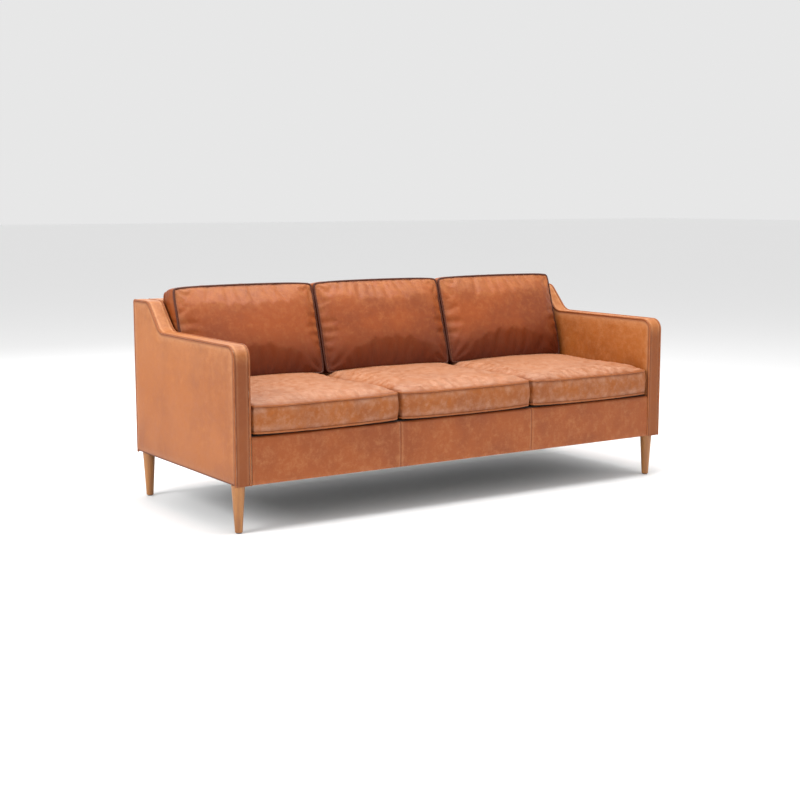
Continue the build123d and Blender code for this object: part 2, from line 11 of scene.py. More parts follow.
import bpy
import numpy as np
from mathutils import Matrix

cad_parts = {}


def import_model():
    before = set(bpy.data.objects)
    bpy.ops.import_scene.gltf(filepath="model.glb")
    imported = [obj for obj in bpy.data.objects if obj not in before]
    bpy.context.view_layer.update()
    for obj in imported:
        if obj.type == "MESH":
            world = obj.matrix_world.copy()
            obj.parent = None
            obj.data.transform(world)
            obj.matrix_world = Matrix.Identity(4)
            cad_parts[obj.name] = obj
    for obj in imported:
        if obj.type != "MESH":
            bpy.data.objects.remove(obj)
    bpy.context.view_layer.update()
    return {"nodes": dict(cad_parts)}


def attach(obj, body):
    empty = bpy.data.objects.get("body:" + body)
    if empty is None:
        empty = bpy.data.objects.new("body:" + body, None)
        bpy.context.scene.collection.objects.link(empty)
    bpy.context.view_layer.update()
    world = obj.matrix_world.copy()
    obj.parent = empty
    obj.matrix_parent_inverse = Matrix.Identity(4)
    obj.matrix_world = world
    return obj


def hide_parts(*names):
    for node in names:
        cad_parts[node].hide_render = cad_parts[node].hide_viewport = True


LOG = logging.getLogger("sofa")
MM = 0.001
Array = np.ndarray


class Part(Enum):
    """The three places along the sofa, by the names of their nodes and bodies."""

    LEFT = "left"
    CENTRE = "centre"
    RIGHT = "right"


class Side(Enum):
    """The two arms, with the sign of their X."""

    LEFT = -1
    RIGHT = 1


# ------------------------------------------------------------------ shader groups


class Group:
    """A shader node group with named sockets, and short ways to add and join its nodes."""

    def __init__(self, name: str, inputs: dict[str, object], outputs: dict[str, str]) -> None:
        """Makes the group and its sockets.

        Args:
            name: the group's name.
            inputs: socket name to default value; a number or an RGBA tuple.
            outputs: socket name to socket type.
        """
        self.tree = bpy.data.node_groups.new(name, "ShaderNodeTree")
        for key, value in inputs.items():
            kind = "NodeSocketColor" if isinstance(value, tuple) else "NodeSocketFloat"
            self.tree.interface.new_socket(key, in_out="INPUT", socket_type=kind).default_value = value
        for key, kind in outputs.items():
            self.tree.interface.new_socket(key, in_out="OUTPUT", socket_type=kind)
        self.ins = self.tree.nodes.new("NodeGroupInput")
        self.outs = self.tree.nodes.new("NodeGroupOutput")

    def node(self, kind: str, **settings: object) -> bpy.types.Node:
        """Adds a node of a kind and sets its attributes.

        Args:
            kind: the node's Blender type.
            settings: attributes to set on the node.

        Returns:
            The new node.
        """
        made = self.tree.nodes.new(kind)
        for key, value in settings.items():
            setattr(made, key, value)
        return made

    def put(self, socket: bpy.types.NodeSocket, value: object) -> None:
        """Links a socket to another one, or sets its value.

        Args:
            socket: the input socket.
            value: an output socket, a number or a tuple.
        """
        if isinstance(value, bpy.types.NodeSocket):
            self.tree.links.new(value, socket)
        else:
            socket.default_value = value

    def place(self, stretch: tuple[float, float, float] = (1, 1, 1)) -> bpy.types.NodeSocket:
        """Object coordinates, stretched along the axes.

        Args:
            stretch: scale along X, Y and Z.

        Returns:
            The vector socket.
        """
        coords = self.node("ShaderNodeTexCoord")
        mapping = self.node("ShaderNodeMapping")
        mapping.inputs["Scale"].default_value = stretch
        self.put(mapping.inputs["Vector"], coords.outputs["Object"])
        return mapping.outputs["Vector"]

    def noise(
        self, where: bpy.types.NodeSocket, scale: object, detail: float = 3.0, rough: float = 0.55
    ) -> bpy.types.NodeSocket:
        """Fractal noise as a number about 0.5.

        Args:
            where: the vector to read at.
            scale: cells per metre, a number or a socket.
            detail: octaves.
            rough: share of each next octave.

        Returns:
            The value socket.
        """
        made = self.node("ShaderNodeTexNoise")
        self.put(made.inputs["Vector"], where)
        self.put(made.inputs["Scale"], scale)
        made.inputs["Detail"].default_value = detail
        made.inputs["Roughness"].default_value = rough
        return made.outputs["Fac"]

    def sums(self, operation: str, a: object, b: object = 0.0, c: object = 0.0) -> bpy.types.NodeSocket:
        """One math node.

        Args:
            operation: the math node's operation.
            a: first value.
            b: second value.
            c: third value.

        Returns:
            The result socket.
        """
        made = self.node("ShaderNodeMath", operation=operation)
        for socket, value in zip(made.inputs, (a, b, c)):
            self.put(socket, value)
        return made.outputs[0]

    def ramp(self, value: bpy.types.NodeSocket, low: float, high: float) -> bpy.types.NodeSocket:
        """A value spread from low..high to 0..1, smoothly.

        Args:
            value: the value socket.
            low: the value that becomes 0.
            high: the value that becomes 1.

        Returns:
            The result socket.
        """
        made = self.node("ShaderNodeMapRange", interpolation_type="SMOOTHSTEP")
        self.put(made.inputs["Value"], value)
        made.inputs["From Min"].default_value = low
        made.inputs["From Max"].default_value = high
        return made.outputs["Result"]

    def mix(self, share: object, a: object, b: object, blend: str = "MIX") -> bpy.types.NodeSocket:
        """Mixes two colours.

        Args:
            share: how much of b.
            a: first colour.
            b: second colour.
            blend: the blend type.

        Returns:
            The colour socket.
        """
        made = self.node("ShaderNodeMix", data_type="RGBA", blend_type=blend)
        self.put(made.inputs[0], share)
        self.put(made.inputs[6], a)
        self.put(made.inputs[7], b)
        return made.outputs[2]


def attribute(group: Group, name: str) -> bpy.types.NodeSocket:
    """A mesh attribute read as a number; it is 0 where a piece has none.

    Args:
        group: the group to read it in.
        name: the attribute's name.

    Returns:
        The number socket.
    """
    return group.node("ShaderNodeAttribute", attribute_type="GEOMETRY", attribute_name=name).outputs["Fac"]


def leather_group() -> bpy.types.NodeTree:
    """Pull-up leather: clouded tan, darker as painted shade and its own darker tone, lighter by wear and
    painted sheen.

    Colour = base, clouded to Dark by wide and mid noise, lightened to Light by the piece's own wear-and-sheen
    attribute, darkened to Dark by its painted-shade-and-tone attribute. Height = pebble cells + fine wrinkles
    + pores.

    Returns:
        The node tree.
    """
    group = Group(
        "leather_hide",
        {
            "Base": (0.5, 0.25, 0.1, 1.0),
            "Light": (0.6, 0.35, 0.2, 1.0),
            "Dark": (0.2, 0.07, 0.03, 1.0),
            "Clouding": 1.0,
            "Grain": 1.0,
        },
        {"Color": "NodeSocketColor", "Height": "NodeSocketFloat", "Roughness": "NodeSocketFloat"},
    )
    where = group.place()
    wide = group.noise(where, 4.5, 4.0)
    mid = group.noise(where, 38.0, 6.0, 0.7)
    fine = group.noise(where, 260.0, 3.0, 0.6)
    cloud = group.sums("MULTIPLY", group.ramp(wide, 0.40, 0.70), group.ins.outputs["Clouding"])
    pale = group.sums("MULTIPLY", group.ramp(mid, 0.42, 0.80), 0.34)
    # lightening attribute: wear and stretch, plus painted sheen on the seat crowns and back cushion tops
    rub_and_sheen = attribute(group, "rub_and_sheen")
    # darkening attribute: painted shade in recesses, at the back cushion feet and on faces turned from the
    # light, partly the leather's own darker tone near seams
    tone_and_shade = attribute(group, "tone_and_shade")
    speck = group.sums("MULTIPLY", group.ramp(fine, 0.35, 0.75), 0.14)
    clouded = group.sums("MULTIPLY", cloud, 0.30)
    colour = group.mix(clouded, group.ins.outputs["Base"], group.ins.outputs["Dark"])
    colour = group.mix(pale, colour, group.ins.outputs["Light"])
    streak = group.sums("MULTIPLY", rub_and_sheen, group.ramp(mid, 0.15, 0.62))
    colour = group.mix(streak, colour, group.ins.outputs["Light"])
    # painted shade, with the darker seam tone, mixed towards Dark
    tone_and_shade_mix = group.sums("MULTIPLY", tone_and_shade, group.sums("ADD", 0.55, group.sums("MULTIPLY", mid, 0.6)))
    colour = group.mix(tone_and_shade_mix, colour, group.ins.outputs["Dark"])
    colour = group.mix(speck, colour, group.ins.outputs["Dark"])
    cells = group.node("ShaderNodeTexVoronoi", feature="DISTANCE_TO_EDGE")
    group.put(cells.inputs["Vector"], where)
    cells.inputs["Scale"].default_value = 420.0
    pebble = group.ramp(cells.outputs["Distance"], 0.0, 0.28)
    creases = group.ramp(group.noise(group.place((1.0, 1.0, 1.0)), 75.0, 4.0, 0.7), 0.40, 0.60)
    height = group.sums("MULTIPLY_ADD", pebble, 0.55, group.sums("MULTIPLY", creases, 0.5))
    height = group.sums("MULTIPLY_ADD", fine, 0.25, height)
    height = group.sums("MULTIPLY", height, group.ins.outputs["Grain"])
    rough = group.sums("MULTIPLY_ADD", group.ramp(mid, 0.3, 0.7), 0.14, 0.42)
    rough = group.sums("MULTIPLY_ADD", tone_and_shade, 0.12, rough)
    group.put(group.outs.inputs["Color"], colour)
    group.put(group.outs.inputs["Height"], height)
    group.put(group.outs.inputs["Roughness"], rough)
    return group.tree


def stitch_group() -> bpy.types.NodeTree:
    """A row of stitches read from a piece's own attributes.

    A stitch shows where the attribute "seam_off" is near the row's distance from the seam and the
    attribute "seam_run", counted in stitches, is in the first two thirds of its step.

    Returns:
        The node tree.
    """
    row = {"Row": 0.0065, "Half width": 0.0007, "Pitch": 0.006}
    group = Group("stitch_row", row, {"Mask": "NodeSocketFloat"})
    off = attribute(group, "seam_off")
    run = attribute(group, "seam_run")
    near = group.sums("ABSOLUTE", group.sums("SUBTRACT", off, group.ins.outputs["Row"]))
    inside = group.sums("LESS_THAN", near, group.ins.outputs["Half width"])
    step = group.sums("FRACT", group.sums("DIVIDE", run, group.ins.outputs["Pitch"]))
    dash = group.sums("LESS_THAN", step, 0.66)
    there = group.sums("GREATER_THAN", off, 0.0001)
    group.put(group.outs.inputs["Mask"], group.sums("MULTIPLY", group.sums("MULTIPLY", inside, dash), there))
    return group.tree


def timber_group() -> bpy.types.NodeTree:
    """Timber along one axis: long figure from stretched noise, growth lines and short open pores.

    Returns:
        The node tree.
    """
    group = Group(
        "timber_figure",
        {"Pale": (0.6, 0.4, 0.2, 1.0), "Deep": (0.3, 0.15, 0.06, 1.0), "Along X": 0.0},
        {"Color": "NodeSocketColor", "Height": "NodeSocketFloat", "Roughness": "NodeSocketFloat"},
    )
    upright = group.place((1.0, 1.0, 0.07))
    lying = group.place((0.07, 1.0, 1.0))
    where = group.node("ShaderNodeMix", data_type="VECTOR")
    group.put(where.inputs[0], group.ins.outputs["Along X"])
    group.put(where.inputs[4], upright)
    group.put(where.inputs[5], lying)
    figure = group.noise(where.outputs[1], 70.0, 4.0, 0.6)
    lines = group.noise(where.outputs[1], 420.0, 3.0, 0.6)
    pores = group.ramp(group.noise(where.outputs[1], 1500.0, 2.0, 0.6), 0.56, 0.66)
    drawn = group.sums("MULTIPLY", lines, 0.3)
    share = group.sums("MULTIPLY_ADD", group.ramp(figure, 0.35, 0.68), 0.6, drawn)
    colour = group.mix(share, group.ins.outputs["Pale"], group.ins.outputs["Deep"])
    colour = group.mix(group.sums("MULTIPLY", pores, 0.45), colour, group.ins.outputs["Deep"])
    group.put(group.outs.inputs["Color"], colour)
    group.put(group.outs.inputs["Height"], group.sums("SUBTRACT", group.sums("MULTIPLY", lines, 0.5), pores))
    group.put(group.outs.inputs["Roughness"], group.sums("MULTIPLY_ADD", lines, 0.18, 0.36))
    return group.tree


def weave_group() -> bpy.types.NodeTree:
    """Plain weave: two crossed sine bands whose product raises each crossing.

    Returns:
        The node tree.
    """
    group = Group("plain_weave", {"Threads": 500.0}, {"Mask": "NodeSocketFloat"})
    parts = group.node("ShaderNodeSeparateXYZ")
    group.put(parts.inputs[0], group.place())
    across = group.sums("SINE", group.sums("MULTIPLY", parts.outputs[0], group.ins.outputs["Threads"]))
    both = group.sums("ADD", parts.outputs[1], parts.outputs[2])
    along = group.sums("SINE", group.sums("MULTIPLY", both, group.ins.outputs["Threads"]))
    product = group.sums("MULTIPLY_ADD", group.sums("MULTIPLY", across, along), 0.5, 0.5)
    group.put(group.outs.inputs["Mask"], product)
    return group.tree


class Shared:
    """The shader groups, built once."""

    def __init__(self) -> None:
        """Builds the groups."""
        self.leather = leather_group()
        self.stitches = stitch_group()
        self.timber = timber_group()
        self.weave = weave_group()


# ------------------------------------------------------------------ finishes


class Finish:
    """Base of the finishes: a material with a Principled BSDF and a bump."""

    name: str

    def begin(
        self, bump: float, distance: float
    ) -> tuple[bpy.types.Material, bpy.types.Node, bpy.types.Node]:
        """Makes the material, its shader and its bump node.

        Args:
            bump: the bump's strength.
            distance: the bump's depth in metres.

        Returns:
            The material, the Principled BSDF and the bump node.
        """
        made = bpy.data.materials.new(self.name)
        made.use_nodes = True
        tree = made.node_tree
        shader = tree.nodes["Principled BSDF"]
        relief = tree.nodes.new("ShaderNodeBump")
        relief.inputs["Strength"].default_value = bump
        relief.inputs["Distance"].default_value = distance
        tree.links.new(relief.outputs["Normal"], shader.inputs["Normal"])
        return made, shader, relief

    @staticmethod
    def effect(
        made: bpy.types.Material, tree: bpy.types.NodeTree, values: dict[str, object]
    ) -> bpy.types.Node:
        """Places a shared group in a material with its own values.

        Args:
            made: the material.
            tree: the shared group.
            values: socket name to value.

        Returns:
            The group node.
        """
        node = made.node_tree.nodes.new("ShaderNodeGroup")
        node.node_tree = tree
        for key, value in values.items():
            node.inputs[key].default_value = value
        return node


@dataclass(frozen=True)
class Leather(Finish):
    """A leather: its three tones, and how clouded and grained it is."""

    name: str
    base: tuple[float, float, float]
    light: tuple[float, float, float]
    dark: tuple[float, float, float]
    clouding: float = 1.0
    grain: float = 1.0
    thread: tuple[float, float, float] = (0.30, 0.12, 0.05)

    def make(self, shared: Shared) -> bpy.types.Material:
        """Builds the material.

        Args:
            shared: the shader groups.

        Returns:
            The material.
        """
        made, shader, relief = self.begin(0.35, 0.0012)
        links = made.node_tree.links
        values = {"Base": (*self.base, 1), "Light": (*self.light, 1), "Dark": (*self.dark, 1)}
        hide = self.effect(made, shared.leather, values | {"Clouding": self.clouding, "Grain": self.grain})
        row = self.effect(made, shared.stitches, {})
        sewn = made.node_tree.nodes.new("ShaderNodeMix")
        sewn.data_type = "RGBA"
        sewn.inputs[7].default_value = (*self.thread, 1)
        links.new(row.outputs["Mask"], sewn.inputs[0])
        links.new(hide.outputs["Color"], sewn.inputs[6])
        links.new(sewn.outputs[2], shader.inputs["Base Color"])
        links.new(hide.outputs["Roughness"], shader.inputs["Roughness"])
        links.new(hide.outputs["Height"], relief.inputs["Height"])
        shader.inputs["Specular IOR Level"].default_value = 0.30
        return made


@dataclass(frozen=True)
class Timber(Finish):
    """A timber: pale and deep tones, the way its grain runs and its lacquer."""

    name: str
    pale: tuple[float, float, float]
    deep: tuple[float, float, float]
    along_x: float = 0.0
    coat: float = 0.0

    def make(self, shared: Shared) -> bpy.types.Material:
        """Builds the material.

        Args:
            shared: the shader groups.

        Returns:
            The material.
        """
        made, shader, relief = self.begin(0.25, 0.0004)
        links = made.node_tree.links
        values = {"Pale": (*self.pale, 1), "Deep": (*self.deep, 1), "Along X": self.along_x}
        figure = self.effect(made, shared.timber, values)
        links.new(figure.outputs["Color"], shader.inputs["Base Color"])
        links.new(figure.outputs["Roughness"], shader.inputs["Roughness"])
        links.new(figure.outputs["Height"], relief.inputs["Height"])
        shader.inputs["Coat Weight"].default_value = self.coat
        shader.inputs["Coat Roughness"].default_value = 0.3
        return made


@dataclass(frozen=True)
class Cloth(Finish):
    """A woven or felted cloth, or foam: two tones and threads per metre (times two pi)."""

    name: str
    high: tuple[float, float, float]
    low: tuple[float, float, float]
    threads: float = 2500.0

    def make(self, shared: Shared) -> bpy.types.Material:
        """Builds the material.

        Args:
            shared: the shader groups.

        Returns:
            The material.
        """
        made, shader, relief = self.begin(0.4, 0.0006)
        links = made.node_tree.links
        weave = self.effect(made, shared.weave, {"Threads": self.threads})
        tint = made.node_tree.nodes.new("ShaderNodeMix")
        tint.data_type = "RGBA"
        tint.inputs[6].default_value = (*self.low, 1)
        tint.inputs[7].default_value = (*self.high, 1)
        links.new(weave.outputs["Mask"], tint.inputs[0])
        links.new(tint.outputs[2], shader.inputs["Base Color"])
        links.new(weave.outputs["Mask"], relief.inputs["Height"])
        shader.inputs["Roughness"].default_value = 0.9
        shader.inputs["Specular IOR Level"].default_value = 0.2
        return made


@dataclass(frozen=True)
class Hard(Finish):
    """A metal or plastic with a brushed or moulded surface from fine noise."""

    name: str
    bright: tuple[float, float, float]
    dull: tuple[float, float, float]
    metallic: float = 1.0
    roughness: float = 0.4

    def make(self, shared: Shared) -> bpy.types.Material:
        """Builds the material.

        Args:
            shared: the shader groups; its timber group's stretched lines give the brushing.

        Returns:
            The material.
        """
        made, shader, relief = self.begin(0.1, 0.0002)
        links = made.node_tree.links
        values = {"Pale": (*self.bright, 1), "Deep": (*self.dull, 1), "Along X": 1.0}
        brushed = self.effect(made, shared.timber, values)
        links.new(brushed.outputs["Color"], shader.inputs["Base Color"])
        links.new(brushed.outputs["Height"], relief.inputs["Height"])
        shader.inputs["Metallic"].default_value = self.metallic
        shader.inputs["Roughness"].default_value = self.roughness
        return made


class Finishes:
    """Every finish on the sofa, as materials."""

    def __init__(self) -> None:
        """Builds the shared groups and all materials."""
        shared = Shared()
        tan = {"light": (0.56, 0.25, 0.105), "dark": (0.12, 0.020, 0.006)}
        rust = {"light": (0.47, 0.175, 0.055), "dark": (0.085, 0.013, 0.005)}
        self.body = Leather("leather_body", (0.375, 0.109, 0.017), **tan, clouding=0.9).make(shared)
        # front rail leather: a darker copy of the body leather, painted shade of front faces turned from the
        # key light
        self.front = Leather("leather_front_shaded", (0.305, 0.072, 0.011), **tan, clouding=1.1).make(shared)
        # seat light tone, pinkish: wear from sitting, and a painted highlight of the sheen on the seat tops
        sat_on_and_sheen = {"light": (0.60, 0.345, 0.225), "dark": tan["dark"]}
        self.seat = Leather("leather_seat", (0.325, 0.086, 0.009), **sat_on_and_sheen).make(shared)
        self.back = Leather("leather_back", (0.285, 0.058, 0.006), **rust, clouding=1.2).make(shared)
        # welt leather darker than the body leather: painted shade of the seams
        self.welt = Leather("leather_welt_shaded", (0.31, 0.090, 0.022), **tan, clouding=0.8, grain=0.6).make(shared)
        # near-black front welts of the back cushions: painted shade along that seam
        deep = {"light": (0.20, 0.055, 0.020), "dark": (0.03, 0.007, 0.004)}
        self.shade_welt = Leather("leather_shade_welt", (0.075, 0.017, 0.007), **deep, grain=0.6).make(shared)
        self.leg = Timber("leg_timber", (0.41, 0.165, 0.032), (0.22, 0.070, 0.014), 0.0, 0.25).make(shared)
        self.frame = Timber("frame_timber", (0.66, 0.49, 0.31), (0.48, 0.31, 0.17), 1.0).make(shared)
        self.post = Timber("post_timber", (0.66, 0.49, 0.31), (0.48, 0.31, 0.17), 0.0).make(shared)
        self.foam = Cloth("foam", (0.84, 0.79, 0.60), (0.72, 0.66, 0.46), 5200.0).make(shared)
        self.filling = Cloth("filling", (0.86, 0.86, 0.83), (0.70, 0.70, 0.66), 3200.0).make(shared)
        self.webbing = Cloth("webbing", (0.42, 0.33, 0.22), (0.20, 0.15, 0.10), 1800.0).make(shared)
        self.decking = Cloth("decking", (0.10, 0.085, 0.075), (0.03, 0.026, 0.024), 2600.0).make(shared)
        self.dust = Cloth("dust_cloth", (0.045, 0.043, 0.042), (0.015, 0.015, 0.015), 3000.0).make(shared)
        self.wire = Hard("spring_wire", (0.34, 0.34, 0.36), (0.20, 0.20, 0.22)).make(shared)
        self.plated = Hard("plated_steel", (0.68, 0.66, 0.58), (0.50, 0.48, 0.42)).make(shared)
        self.zip = Hard("zip_metal", (0.42, 0.30, 0.14), (0.26, 0.18, 0.08), 1.0, 0.35).make(shared)
        self.glide = Hard("glide_plastic", (0.07, 0.07, 0.07), (0.04, 0.04, 0.04), 0.0, 0.5).make(shared)


# ------------------------------------------------------------------ surfaces


def smooth(low: float, high: float, x: Array) -> Array:
    """Smoothstep: 0 below low, 1 above high, 3t^2 - 2t^3 between."""
    t = np.clip((x - low) / (high - low), 0.0, 1.0)
    return t * t * (3 - 2 * t)


def ripple(points: Array, seed: int, waves: int, pitch: float) -> Array:
    """A sum of sine waves in random directions, between -1 and 1.

    Args:
        points: (..., 3) positions in metres.
        seed: the random seed.
        waves: how many waves are added.
        pitch: the shortest wave's length in metres; the longest is three times it.

    Returns:
        One value per point.
    """
    rng = np.random.default_rng(seed)
    ways = rng.normal(size=(waves, 3))
    ways /= np.linalg.norm(ways, axis=1, keepdims=True)
    lengths = pitch * rng.uniform(1.0, 3.0, waves)
    phases = rng.uniform(0, 2 * math.pi, waves)
    turns = points @ (ways * (2 * math.pi / lengths)[:, None]).T + phases
    return np.sin(turns).mean(axis=-1) * math.sqrt(waves) / 1.6


def make_mesh(
    name: str, points: Array, faces: Array, marks: dict[str, Array] | None = None
) -> bpy.types.Object:
    """Puts points, quads and point attributes into a new mesh object.

    Args:
        name: the object's name.
        points: (n, 3) positions.
        faces: (m, 4) corner numbers.
        marks: attribute name to one number per point.

    Returns:
        The object, linked to the scene.
    """
    mesh = bpy.data.meshes.new(name)
    mesh.vertices.add(len(points))
    mesh.vertices.foreach_set("co", np.ascontiguousarray(points, np.float32).ravel())
    mesh.loops.add(faces.size)
    mesh.loops.foreach_set("vertex_index", np.ascontiguousarray(faces, np.int32).ravel())
    mesh.polygons.add(len(faces))
    mesh.polygons.foreach_set("loop_start", np.arange(0, faces.size, faces.shape[1], dtype=np.int32))
    mesh.update(calc_edges=True)
    for key, values in (marks or {}).items():
        attribute = mesh.attributes.new(key, "FLOAT", "POINT")
        attribute.data.foreach_set("value", values.astype(np.float32).ravel())
    mesh.shade_smooth()
    made = bpy.data.objects.new(name, mesh)
    bpy.context.scene.collection.objects.link(made)
    return made


def grid_faces(rows: int, columns: int, wrap_rows: bool = False, wrap_columns: bool = False) -> Array:
    """Quads of a grid of points in row order, wrapped where it closes on itself.

    Args:
        rows: points along the first parameter.
        columns: points along the second parameter.
        wrap_rows: the last row joins the first.
        wrap_columns: the last column joins the first.

    Returns:
        (m, 4) corner numbers.
    """
    i = np.arange(rows if wrap_rows else rows - 1)[:, None]
    j = np.arange(columns if wrap_columns else columns - 1)[None, :]
    a, b = i * columns + j, i * columns + (j + 1) % columns
    c, d = (i + 1) % rows * columns + (j + 1) % columns, (i + 1) % rows * columns + j
    return np.stack([a, d, c, b], axis=-1).reshape(-1, 4)


def slab(name: str, outer: Array, inner: Array, marks: dict[str, Array] | None = None) -> bpy.types.Object:
    """A thin closed sheet between two grids of points: both faces and the rim around them.

    Args:
        name: the object's name.
        outer: (rows, columns, 3) points of the shown face.
        inner: the same grid on the back face.
        marks: attribute name to one number per outer point; the back face repeats them.

    Returns:
        The object.
    """
    rows, columns = outer.shape[:2]
    front = grid_faces(rows, columns)
    count = rows * columns
    index = np.arange(count).reshape(rows, columns)
    rim = np.concatenate([index[0, :], index[1:, -1], index[-1, -2::-1], index[-2:0:-1, 0]])
    after = np.roll(rim, -1)
    side = np.stack([rim, rim + count, after + count, after], axis=-1)
    faces = np.concatenate([front, front[:, ::-1] + count, side[:, ::-1]])
    doubled = {key: np.concatenate([v.ravel(), v.ravel()]) for key, v in (marks or {}).items()}
    made = make_mesh(name, np.concatenate([outer.reshape(-1, 3), inner.reshape(-1, 3)]), faces, doubled)
    return outward(made)


def outward(made: bpy.types.Object) -> bpy.types.Object:
    """Turns a closed mesh's faces outwards where its signed volume is negative.

    Volume is the sum over faces of centre . normal x area / 3.

    Args:
        made: the object.

    Returns:
        The same object.
    """
    mesh = made.data
    count = len(mesh.polygons)
    centres, normals, areas = np.zeros(count * 3), np.zeros(count * 3), np.zeros(count)
    mesh.polygons.foreach_get("center", centres)
    mesh.polygons.foreach_get("normal", normals)
    mesh.polygons.foreach_get("area", areas)
    if ((centres * normals).reshape(-1, 3).sum(axis=1) * areas).sum() < 0:
        mesh.flip_normals()
    return made


def tube(
    name: str, path: Array, reference: Array, radius: float, closed: bool, sides: int = 10
) -> bpy.types.Object:
    """A round cord along a path, its rings square to the path, its ends closed by a point.

    Ring = path + radius (cos a N + sin a B), with B = tangent x reference and N = B x tangent.

    Args:
        name: the object's name.
        path: (n, 3) points.
        reference: a direction never along the path, one for all or one per point.
        radius: the cord's radius.
        closed: whether the path is a loop.
        sides: points round the cord.

    Returns:
        The object.
    """
    if closed:
        tangent = np.roll(path, -1, axis=0) - np.roll(path, 1, axis=0)
    else:
        tangent = np.gradient(path, axis=0)
    tangent /= np.linalg.norm(tangent, axis=1, keepdims=True)
    side = np.cross(tangent, reference)
    side /= np.linalg.norm(side, axis=1, keepdims=True)
    up = np.cross(side, tangent)
    turn = np.linspace(0, 2 * math.pi, sides, endpoint=False)
    size = np.full(len(path), radius)
    if not closed:
        path = np.concatenate([path[:1], path, path[-1:]])
        side, up = np.concatenate([side[:1], side, side[-1:]]), np.concatenate([up[:1], up, up[-1:]])
        size = np.concatenate([[radius * 0.02], size, [radius * 0.02]])
    ring = np.cos(turn)[None, :, None] * side[:, None] + np.sin(turn)[None, :, None] * up[:, None]
    points = path[:, None] + ring * size[:, None, None]
    faces = grid_faces(len(path), sides, wrap_rows=closed, wrap_columns=True)
    return outward(make_mesh(name, points.reshape(-1, 3), faces))


def dress(made: bpy.types.Object, material: bpy.types.Material) -> bpy.types.Object:
    """Gives an object one material.

    Args:
        made: the object.
        material: its material.

    Returns:
        The same object.
    """
    made.data.materials.clear()
    made.data.materials.append(material)
    return made


def resample(points: Array, count: int) -> Array:
    """Points spaced evenly along a polyline.

    Args:
        points: (n, k) polyline.
        count: how many points come back.

    Returns:
        (count, k) points.
    """
    run = np.concatenate([[0], np.cumsum(np.linalg.norm(np.diff(points, axis=0), axis=1))])
    at = np.linspace(0, run[-1], count)
    return np.stack([np.interp(at, run, points[:, k]) for k in range(points.shape[1])], axis=-1)


# ------------------------------------------------------------------ arms


@dataclass
class ArmOutline:
    """The side outline of an arm: straight runs with round corners, as a function of its inset."""

    front: float = -437 * MM
    rear: float = 437 * MM
    bottom: float = 177 * MM
    arm_top: float = 684 * MM
    back_top: float = 798 * MM
    scoop: tuple[float, float] = (190 * MM, 297 * MM)
    radii: tuple[float, float, float, float] = (48 * MM, 70 * MM, 50 * MM, 12 * MM)

    def line(self, inset: float, count: int = 220) -> Array:
        """The rim from the front foot up, along, over the shoulder and down to the back foot.

        Each corner is an arc of its radius, less the inset (more in the hollow of the scoop).

        Args:
            inset: how far inside the outline, in metres.
            count: points along the whole line.

        Returns:
            (count, 2) points in Y and Z.
        """
        corners = np.array(
            [
                (self.front, self.bottom),
                (self.front, self.arm_top),
                (self.scoop[0], self.arm_top),
                (self.scoop[1], self.back_top),
                (self.rear, self.back_top),
                (self.rear, self.bottom),
            ]
        )
        ways = np.diff(corners, axis=0)
        ways /= np.linalg.norm(ways, axis=1, keepdims=True)
        inward = np.stack([ways[:, 1], -ways[:, 0]], axis=1)
        bases = corners[:-1] + inward * inset
        moved = [bases[0]]
        for k in range(1, 5):
            cross = ways[k - 1, 0] * ways[k, 1] - ways[k - 1, 1] * ways[k, 0]
            gap = bases[k] - bases[k - 1]
            reach = (gap[0] * ways[k, 1] - gap[1] * ways[k, 0]) / cross
            moved.append(bases[k - 1] + ways[k - 1] * reach)
        moved.append(corners[-1] + inward[-1] * inset)
        pieces = [moved[0][None]]
        for k, radius in enumerate(self.radii, start=1):
            hollow = k == 2
            bend = radius + inset if hollow else max(radius - inset, 0.5 * MM)
            pieces.append(self.arc(moved[k], ways[k - 1], ways[k], bend))
        pieces.append(moved[-1][None])
        return resample(np.concatenate(pieces), count)

    @staticmethod
    def arc(corner: Array, way_in: Array, way_out: Array, radius: float) -> Array:
        """A round corner between two straight runs.

        Args:
            corner: where the runs would meet.
            way_in: direction of the first run.
            way_out: direction of the second run.
            radius: the arc's radius.

        Returns:
            (17, 2) points of the arc.
        """
        turn = math.acos(float(np.clip(way_in @ way_out, -1, 1)))
        reach = radius * math.tan(turn / 2)
        sign = 1.0 if way_in[0] * way_out[1] - way_in[1] * way_out[0] > 0 else -1.0
        start = corner - way_in * reach
        centre = start + sign * radius * np.array([-way_in[1], way_in[0]])
        angle = np.linspace(0, sign * turn, 17)
        spoke = start - centre
        cos, sin = np.cos(angle), np.sin(angle)
        return centre + np.stack([spoke[0] * cos - spoke[1] * sin, spoke[0] * sin + spoke[1] * cos], axis=1)


